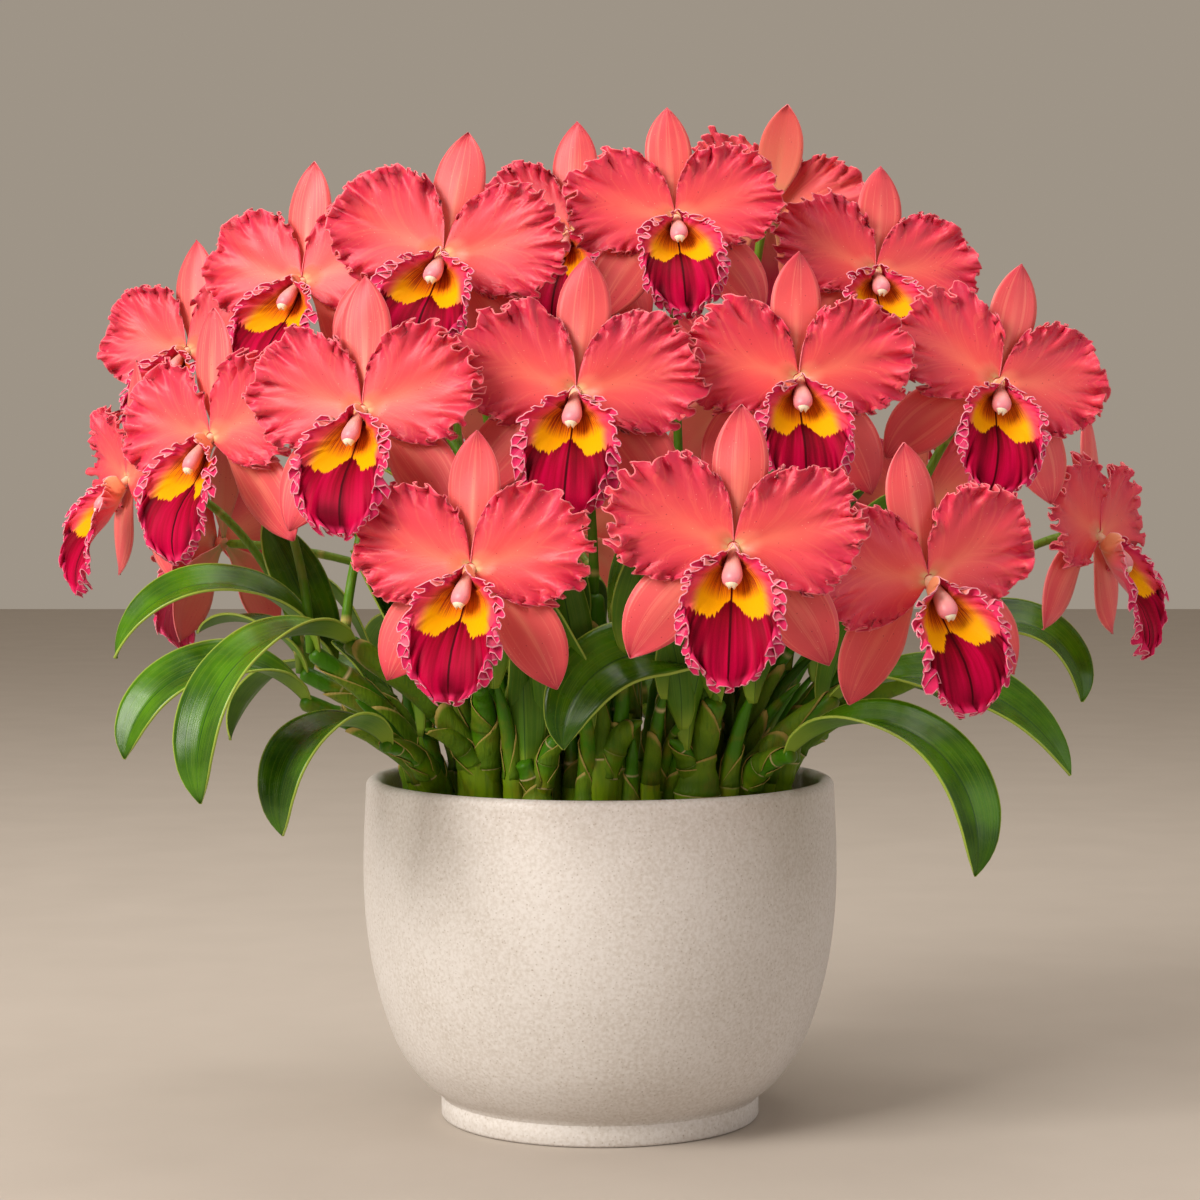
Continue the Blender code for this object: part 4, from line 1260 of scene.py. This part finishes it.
@dataclass
class Growth:
    """Canes that rise from one foot in the bark, with their leaves, sheaths and flower stems."""

    number: str
    foot: tuple[float, float]
    canes: tuple[Cane, ...]
    young: int = 5  # shoots about the foot
    tallest: float = 105.0  # of them
    ring: float = 27.0  # how far out they stand
    foot_depth: float = 12.0
    overlap: float = 4.0
    hub_back: float = 5.0
    gap: float = 0.3
    nodes: tuple = (0.16, 0.34, 0.58, 0.80)  # where a cane's joints are, as shares of its length
    scar: float = 0.9  # a joint's half width
    stem_radius: float = 2.7

    @staticmethod
    def arch(start: Array, knee: Array, end: Array, share: Sequence) -> Array:
        """Places on the curve that leaves start towards knee and arrives at end."""
        share = np.asarray(share)[:, None]
        return (1 - share) ** 2 * start + 2 * share * (1 - share) * knee + share**2 * end

    def first(self) -> tuple[Array, Array]:
        """Runs the oldest cane from its foot in the bark.

        Returns:
            Its points, and its radius at each.
        """
        foot = np.array([*self.foot, bark_height(*self.foot)])
        top = np.array(self.canes[0].top, float)
        knee = foot + (0, 0, 0.55 * (top[2] - foot[2]))
        shares, widths = (0.06, 0.20, 0.34, 0.46, 0.72, 1.0), (0.86, 1.0, 0.88, 0.62, 0.58, 0.50)
        points = np.vstack([foot - (0, 0, self.foot_depth), self.arch(foot, knee, top, shares)])
        return points, self.canes[0].girth * np.array((0.6, *widths))

    def later(self, cane: Cane) -> tuple[Array, Array]:
        """Runs a later cane from the foot of the first.

        Args:
            cane: the cane.

        Returns:
            Its points, and its radius at each.
        """
        start, top = self.first()[0][1], np.array(cane.top, float)
        knee = start + (0.2, 0.2, 0.9) * (top - start)
        last = 0.50 if cane.leaves or cane.blooms else 0.15
        return (self.arch(start, knee, top, (0.0, 0.25, 0.50, 0.75, 1.0)),
                cane.girth * np.array((0.55, 0.95, 0.9, 0.62, last)))

    def cane(self, points: Array, radii: Array, rng: Random, rings: int = 48, sides: int = 16) -> list[Piece]:
        """Models a pseudobulb with its nodes and the sheaths that hug it.

        Args:
            points: its middle, in mm.
            radii: its radius at each.
            rng: the source of its chance values.
            rings: rings of corners along it.
            sides: corners round it.

        Returns:
            The cane and its sheaths.
        """
        run = travelled(points)
        length, share = run[-1], np.linspace(0, 1, rings)
        table = through(np.column_stack([run / length, points, radii]), share)
        line, width = table[:, :3], np.maximum(table[:, 3], 0.3)
        nodes = np.array(self.nodes) + rng.normal(0, 0.012, len(self.nodes))
        scars = np.zeros(rings)
        for place in nodes:
            away = (share - place) * length
            scars = np.maximum(scars, 0.7 * np.exp(-(away / self.scar) ** 2))
            width = width * (1 + 0.10 * np.exp(-(away / 1.6) ** 2) - 0.05 * np.exp(-((away - 4) / 2.5) ** 2))
        width[-2] *= 0.75
        pieces = [tube("cane", line, width, sides, CANE, scars)]
        for place, tall in zip(nodes[1:1 + sides // 8], rng.uniform(0.22, 0.45, 2)):
            cells = (sides - 2, sides // 2)
            pieces.append(self.sheath(cells, line, width, share, place, tall, rng.uniform(0, math.tau)))
        return pieces

    @staticmethod
    def sheath(cells: tuple[int, int], line: Array, width: Array, share: Array, place: float, tall: float,
               facing: float) -> Piece:
        """Wraps a pointed papery sheath about a cane.

        Args:
            cells: how many cells it has round and up.
            line: the cane's middle, one point for each ring.
            width: its radius at each ring.
            share: how far along each ring is.
            place: where the sheath starts, as a share of the cane.
            tall: how far up it reaches, as such a share.
            facing: which way its point faces, in radians.

        Returns:
            The sheath.
        """
        made = grid("sheath", *cells)
        x, y = flat(made)
        up = (y + 1) / 2
        at = np.clip(place + tall * up * (1 - 0.85 * x * x), 0, 0.97)
        _, side, other = frames_along(line)
        spot, a, b = (between(at, share, rows) for rows in (line, side, other))
        turn = facing + x * math.radians(165)
        radius = np.interp(at, share, width) + 0.3 + 0.3 * up + 0.4 * up**4 * (1 - np.abs(x))
        spots = spot + radius[:, None] * (np.cos(turn)[:, None] * a + np.sin(turn)[:, None] * b)
        settle(made, spots, (x, up, np.abs(x)), smooth(0.86, 1, up))
        return thicken(made, 0.35, SHEATH, SHEATH)

    def shoots(self, rng: Random) -> tuple[list[Piece], list[Piece]]:
        """Models the young shoots about the foot: short canes in tight sheaths, some with a narrow leaf.

        Args:
            rng: the source of their places and sizes.

        Returns:
            The canes' pieces, and the leaves.
        """
        canes, leaves = [], []
        for _ in range(self.young):
            turn, away = rng.uniform(0, math.tau), rng.uniform(10, self.ring)
            tall = rng.uniform(40, self.tallest)
            x, y = self.foot[0] + away * math.cos(turn), self.foot[1] + away * math.sin(turn)
            inward = min(1, rng.uniform(66, 106) / math.hypot(x, y))
            foot = np.array([x * inward, y * inward, bark_height(x * inward, y * inward) - 6])
            lean = tall * rng.uniform(0.05, 0.55) / 100
            top = foot + (x * lean, y * lean, tall)
            points = self.arch(foot, foot + (0, 0, 0.6 * tall), top, (0, 0.12, 0.25, 0.45, 0.75, 1))
            radii = rng.uniform(5, 7.5) * np.array((0.8, 1, 0.9, 0.65, 0.5, 0.15))
            canes += self.cane(points, radii, rng, 24, 10)
            heading = math.degrees(math.atan2(y, x)) + rng.normal(0, 35)
            leaf = Leaf(heading, rng.normal(0, 15), 84, rng.uniform(15, 60), rng.uniform(60, 115),
                        rng.uniform(24, 34), rng.normal(0, 30), 1.0, 2.2, cells=(8, 22))
            if rng.random() < 0.6:
                leaves.append(leaf.build(top - (0, 0, 6)))
        return canes, leaves

    def stem(self, top: Array, inside: Array, seat: Seat) -> Piece:
        """Models a flower stem, which meets the back of its bloom squarely.

        Args:
            top: its cane's top, in mm.
            inside: where it starts inside the cane.
            seat: its bloom's seat.

        Returns:
            The stem.
        """
        matrix = seat.matrix()
        end = np.array(matrix @ Vector((0, (self.hub_back + self.gap / seat.size) * MM, 0))) / MM
        back = np.array((matrix.to_3x3() @ Vector((0, 1, 0))).normalized())
        near = end + back * self.overlap
        reach = np.linalg.norm(near - top)
        first, second = top + (0, 0, reach * 0.35), near + back * min(40, reach * 0.33)
        t = np.linspace(0, 1, 26)[:, None]
        curve = (1 - t) ** 3 * top + 3 * (1 - t) ** 2 * t * first + 3 * (1 - t) * t**2 * second + t**3 * near
        line = np.vstack([inside, curve, end])
        share = np.linspace(0, 1, len(line))
        flare = 0.5 * smooth(0.72, 0.9, share) * smooth(1.02, 0.93, share)
        radii = self.stem_radius - 0.6 * share + flare
        scars = np.maximum(np.exp(-((share - 0.12) / 0.02) ** 2), np.exp(-((share - 0.62) / 0.015) ** 2))
        return tube("stem", line, radii * (1 + 0.12 * scars), 10, STEM, 0.8 * scars)

    def build(self) -> None:
        """Models the growth's canes, leaves and stems, each kind as one piece."""
        rng = np.random.default_rng(int(self.number))
        bodies, leaves = self.shoots(rng)
        stems = []
        for place, cane in enumerate(self.canes):
            points, radii = self.first() if place == 0 else self.later(cane)
            bodies += self.cane(points, radii, rng)
            down = points[-2] - points[-1]
            inside = points[-1] + self.overlap * down / np.linalg.norm(down)
            leaves += [leaf.build(inside) for leaf in cane.leaves]
            stems += [self.stem(points[-1], inside, SEATS[key]) for key in cane.blooms]
        growth = f"growth_{self.number}"
        for kind, pieces in (("canes", bodies), ("leaves", leaves), ("flower_stems", stems)):
            if pieces:
                finished(joined(pieces, f"{growth}_{kind}"), "green_growth", growth)


GROWTHS = (
    Growth("01", (-94, -30), (Cane((-154, -52, 259), 9, (Leaf(185, 5, 70, -75, 140, 42, -25),), ("08",)),
                              Cane((-150, -20, 248), 7, (Leaf(180, -20, 75, 55, 90, 42, -50),)))),
    Growth("02", (-84, -56), (Cane((-155, -95, 236), 9, (Leaf(195, 5, 50, -85, 125, 48, -30),)),
                              Cane((-111, -112, 214), 7, (Leaf(220, 15, 45, -110, 110, 48),)))),
    Growth("03", (-58, -78), (Cane((-130, -115, 268), 10, (Leaf(220, 10, 25, -105, 150, 56),), ("04",)),
                              Cane((-62, -112, 244), 8, (), ("01",)), Cane((-90, -108, 222), 6))),
    Growth("04", (-32, -92), (Cane((-40, -98, 205), 9, (Leaf(260, 0, 85, 80, 55, 30),)),
                              Cane((-18, -108, 220), 6))),
    Growth("05", (0, -88), (Cane((-3, -90, 292), 10, (), ("05",)), Cane((22, -102, 226), 7)), 9, 120, 38),
    Growth("06", (50, -82), (Cane((60, -97, 237), 12, (Leaf(210, -10, 65, -95, 125, 56, -45),), ("02", "06")),
                             Cane((36, -104, 216), 6))),
    Growth("07", (72, -64), (Cane((124, -84, 237), 9, (Leaf(-15, 0, 30, -65, 145, 48, 30),)),
                             Cane((100, -100, 208), 8, (Leaf(-25, -15, 45, -105, 160, 54, 15),))), 8, 130),
    Growth("08", (92, -34), (Cane((146, -62, 262), 11, (), ("03", "07")),), 8, 130),
    Growth("09", (94, 14), (Cane((190, 8, 248), 10, (Leaf(-10, -5, 65, -95, 115, 46, 30),), ("17",)),
                            Cane((128, 50, 206), 7, (Leaf(20, 0, 60, -55, 105, 40),)))),
    Growth("10", (-34, -30), (Cane((-50, -24, 285), 11, (Leaf(165, 0, 80, 10, 110, 42, -30),),
                                   ("11", "12")),), 14, 150, 48),
    Growth("11", (36, -28), (Cane((44, -18, 290), 11, (Leaf(15, 0, 80, 10, 110, 42, 30),),
                                  ("14", "15")),), 16, 150, 48),
    Growth("12", (-92, 24), (Cane((-167, 22, 243), 9, (Leaf(165, 0, 70, -35, 80, 40),), ("09", "10")),
                             Cane((-128, 62, 222), 7, (Leaf(150, 10, 50, -80, 130, 44),)))),
    Growth("13", (-50, 74), (Cane((-82, 104, 248), 10, (Leaf(125, -10, 45, -85, 150, 52),),
                                  ("18", "21", "13")),
                             Cane((-24, 112, 212), 8, (Leaf(100, 10, 45, -100, 120, 46),)))),
    Growth("14", (50, 74), (Cane((80, 100, 248), 10, (Leaf(50, 10, 45, -85, 150, 52),), ("20", "22", "16")),
                            Cane((26, 112, 214), 8, (Leaf(75, -5, 50, -100, 120, 46),), ("19",))),
           10, 150, 52),
)


# Pot and bark

def bark_height(x: Array | float, y: Array | float) -> Array | float:
    """The height of the bark's top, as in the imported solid.

    Args:
        x: the place's X, in mm.
        y: its Y.

    Returns:
        The height in mm.
    """
    chips = np.sin(math.tau * x / 30 + 1.3) * np.cos(math.tau * y / 33 - 0.4)
    dips = 0.6 * np.sin(math.tau * x / 65 - math.tau * y / 48)
    return 168 + 4 * (1 - (x * x + y * y) / 130**2) + 1.9 * (chips + dips)


@dataclass
class Pot:
    """The pot: a bulging stoneware bowl on a short foot, spun from its outline. Sizes in mm."""

    height: float = 187.0
    radius: float = 130.0
    rim_radius: float = 128.5
    foot_radius: float = 87.5
    foot_height: float = 12.0
    wall: float = 9.0
    floor: float = 13.0
    steps: int = 144

    def outline(self) -> Array:
        """Draws the outline, from the middle of the foot's underside to the middle of the inside's floor.

        Returns:
            Rows of radius and height, in mm.
        """
        shares = ((0.76, 0.12), (0.86, 0.22), (0.94, 0.38), (0.985, 0.55), (1.0, 0.74))
        belly = [(self.foot_radius + 0.5, self.foot_height + 1.5),
                 *((self.radius * wide, self.height * high) for wide, high in shares),
                 (self.rim_radius, self.height - 6.3)]
        stations = [(i, *spot) for i, spot in enumerate(belly)]
        belly = through(stations, np.linspace(0, len(belly) - 1, 30))
        foot = [(0, 3.0), (self.foot_radius - 9, 3.0), (self.foot_radius - 8, 0.4), (self.foot_radius - 7, 0),
                (self.foot_radius - 2.4, 0), (self.foot_radius - 0.9, 0.5), (self.foot_radius, 1.8),
                (self.foot_radius, self.foot_height - 2), (self.foot_radius - 0.6, self.foot_height - 0.4)]
        turn = np.linspace(0, math.pi, 11)
        middle, half = self.rim_radius - self.wall / 2, self.wall / 2
        rim = [(middle + half * math.cos(a), self.height - 4.5 + half * math.sin(a)) for a in turn]
        inside = [(self.rim_radius - self.wall, self.height - self.wall),
                  (self.radius - self.wall, self.height * 0.74), (self.radius * 0.905, self.height * 0.5),
                  (self.radius * 0.81, self.height * 0.26), (self.radius * 0.62, self.floor + 3),
                  (self.radius * 0.58, self.floor), (0, self.floor)]
        return np.array([*foot, *belly, *rim, *inside])

    def build(self) -> None:
        """Draws the outline by extruding one point, spins it and welds the seam."""
        outline = self.outline() * MM
        bpy.ops.object.select_all(action="DESELECT")
        bpy.ops.mesh.primitive_plane_add(size=MM)
        pot = bpy.context.object
        bpy.context.tool_settings.mesh_select_mode = (True, False, False)
        with editing(pot):
            bpy.ops.mesh.merge(type="CENTER")
            bpy.ops.transform.translate(value=(outline[0, 0], 0, outline[0, 1]))
            for step in np.diff(outline, axis=0):
                bpy.ops.mesh.extrude_region_move(TRANSFORM_OT_translate={"value": (step[0], 0, step[1])})
            bpy.ops.mesh.select_all(action="SELECT")
            bpy.ops.mesh.spin(steps=self.steps, angle=math.tau, center=(0, 0, 0), axis=(0, 0, 1))
            bpy.ops.mesh.select_all(action="SELECT")
            bpy.ops.mesh.remove_doubles(threshold=WELD)
        pot.name = pot.data.name = "stoneware_pot"
        finished(dress(pot, POT, angle=40), "stoneware", "pot")


@dataclass
class BarkBed:
    """The bark that the plant grows in: an uneven bed under loose chips. Sizes in mm."""

    radius: float = 118.0
    bottom: float = 150.0
    chips: int = 520
    # A chip's least and most half length, half width and half thickness
    chip: tuple = ((3.5, 8), (2.5, 5.5), (0.8, 2))
    chip_bevel: float = 0.45
    chip_rough: float = 0.35
    root_radius: float = 1.5
    root_length: tuple[float, float] = (28, 48)
    seed: int = 11

    def build(self) -> None:
        """Models the bed, the chips and the aerial roots that creep over them."""
        rng = np.random.default_rng(self.seed)
        self.bed()
        self.scatter(rng)
        self.creep(rng)

    def bed(self) -> None:
        """Models the bed as a filled disc whose rim is drawn down inside the pot."""
        bed = grid("bark_bed", 96, 34)
        x, y = flat(bed)
        turn, out = math.pi * x, (1 - y) / 2
        reach = self.radius * np.minimum(out * 1.1, 1)
        a, b = reach * np.cos(turn), reach * np.sin(turn)
        rough = sum(1.1 / k * np.sin(a * k / 4.1 + k) * np.cos(b * k / 3.7 - k) for k in (1, 2, 3))
        top = bark_height(a, b) - 2.0 + rough
        z = np.where(out > 0.92, top - (top - self.bottom) * smooth(0.92, 1, out), top)
        settle(bed, np.stack([a, b, z], 1), (a, b, 0))
        with editing(bed):
            bpy.ops.mesh.select_all(action="DESELECT")
            bpy.ops.mesh.select_non_manifold()
            bpy.ops.mesh.fill_holes(sides=0)
        finished(dress(bed, BARK), "bark", "bark")

    def scatter(self, rng: Random) -> None:
        """Models one chip and strews copies, each turned and stretched its own way.

        Args:
            rng: the source of their places and sizes.
        """
        bpy.ops.object.select_all(action="DESELECT")
        bpy.ops.mesh.primitive_cube_add(size=2 * MM)
        chip = bpy.context.object
        with editing(chip):
            bpy.ops.mesh.bevel(offset=self.chip_bevel * MM, segments=1, affect="EDGES")
        chips = []
        for _ in range(self.chips):
            reach = (self.radius - 9) * math.sqrt(rng.random())
            turn = rng.uniform(0, math.tau)
            x, y = reach * math.cos(turn), reach * math.sin(turn)
            copy = copy_of(chip, "bark_chip")
            size = Matrix.Diagonal((*(rng.uniform(*limits) for limits in self.chip), 1))
            tilt = Matrix.Rotation(rng.normal(0, 0.35), 4, "X") @ Matrix.Rotation(rng.normal(0, 0.3), 4, "Y")
            spun = Matrix.Rotation(rng.uniform(0, math.tau), 4, "Z")
            place = Matrix.Translation(Vector((x, y, bark_height(x, y) + rng.uniform(-1.5, 1.5))) * MM)
            copy.data.transform(place @ spun @ tilt @ size)
            spots = vectors(copy.data.vertices, "co").ravel()
            copy.data.vertices.foreach_set("co", spots + rng.normal(0, self.chip_rough * MM, len(spots)))
            chips.append(copy)
        bpy.data.objects.remove(chip, do_unlink=True)
        finished(dress(joined(chips, "bark_chips"), BARK, angle=30), "bark", "bark")

    def creep(self, rng: Random) -> None:
        """Models aerial roots that leave the growths' feet and creep over the bark.

        Args:
            rng: the source of their ways.
        """
        roots = []
        for growth in GROWTHS:
            x, y = growth.foot
            turn = rng.uniform(0, math.tau)
            t = np.linspace(0, 1, 22)
            bend = turn + 1.2 * np.sin(2.4 * t + rng.uniform(0, 6))
            steps = np.stack([np.cos(bend), np.sin(bend)], 1) * rng.uniform(*self.root_length) / len(t)
            path = np.array([x, y]) + np.cumsum(steps, axis=0)
            far = np.maximum(np.linalg.norm(path, axis=1) / (self.radius - 5), 1)
            path /= far[:, None]
            z = bark_height(path[:, 0], path[:, 1]) + 2 + 1.2 * np.sin(5 * t)
            roots.append(tube("root", np.column_stack([path, z]), self.root_radius - 0.5 * t, 8, ROOT))
        finished(joined(roots, "aerial_roots"), "green_growth")


# Studio

@dataclass
class Studio:
    """The plain floor, soft lights and camera. Sizes in metres."""

    camera_place: tuple[float, float, float] = (0.0, -1.618, 0.354)
    camera_pitch: float = math.atan(128 / 2950)
    lens: float = 88.5
    aim: tuple[float, float, float] = (0.0, 0.0, 0.3)  # what the lights are turned to
    # A name, a place, a size, watts and a colour
    lights: tuple = (("key", (-2.7, -2.3, 2.3), 2.2, 206, "FFFAF3"),
                     ("fill", (1.9, -1.2, 0.9), 1.6, 9, "F6F7FF"),
                     ("top", (0.1, 0.3, 2.2), 1.6, 20, "FFFBF4"))
    sky: str = "E0D2C0"
    sky_strength: float = 0.46
    floor_size: float = 12.0

    def light(self, name: str, place: tuple, size: float, power: float, colour: str) -> None:
        """Adds a square soft light.

        Args:
            name: what it is called.
            place: where it stands.
            size: its side.
            power: its power in watts.
            colour: its hex colour.
        """
        lamp = bpy.data.lights.new(name, "AREA")
        lamp.size = size
        lamp.energy = power
        lamp.color = linear(colour)[:3]
        holder = bpy.data.objects.new(name, lamp)
        bpy.context.scene.collection.objects.link(holder)
        holder.location = place
        holder.rotation_euler = (Vector(self.aim) - Vector(place)).to_track_quat("-Z", "Y").to_euler()

    def build(self) -> None:
        """Adds the floor, the lights, the world's even light and the camera."""
        bpy.ops.object.select_all(action="DESELECT")
        bpy.ops.mesh.primitive_plane_add(size=self.floor_size)
        floor = bpy.context.object
        floor.name = "floor"
        floor.data.materials.append(FLOOR.material())
        for row in self.lights:
            self.light(*row)
        bpy.context.scene.view_settings.view_transform = "Standard"
        world = bpy.data.worlds.new("studio")
        bpy.context.scene.world = world
        world.use_nodes = True
        background = world.node_tree.nodes["Background"]
        background.inputs["Color"].default_value = linear(self.sky)
        background.inputs["Strength"].default_value = self.sky_strength
        camera = bpy.data.objects.new("camera", bpy.data.cameras.new("camera"))
        bpy.context.scene.collection.objects.link(camera)
        camera.location = self.camera_place
        camera.rotation_euler = (math.pi / 2 - self.camera_pitch, 0, 0)
        camera.data.lens = self.lens
        camera.data.clip_end = 50
        bpy.context.scene.camera = camera


def main() -> None:
    """Builds the pot, bark, growths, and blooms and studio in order."""
    logging.basicConfig(level=logging.INFO, format="%(message)s")
    bpy.ops.object.select_all(action="DESELECT")
    Pot().build()
    BarkBed().build()
    for growth in GROWTHS:
        growth.build()
    sheets = [grid(name, across, 5, (-0.2, 0.4, 0.8))
              for name, across in (("petal_sheet", 32), ("lip_sheet", 40))]
    for number, seat in SEATS.items():
        Bloom(number, seat).build(*sheets)
    for sheet in sheets:
        bpy.data.objects.remove(sheet, do_unlink=True)
    Studio().build()


if __name__ == "__main__":
    main()
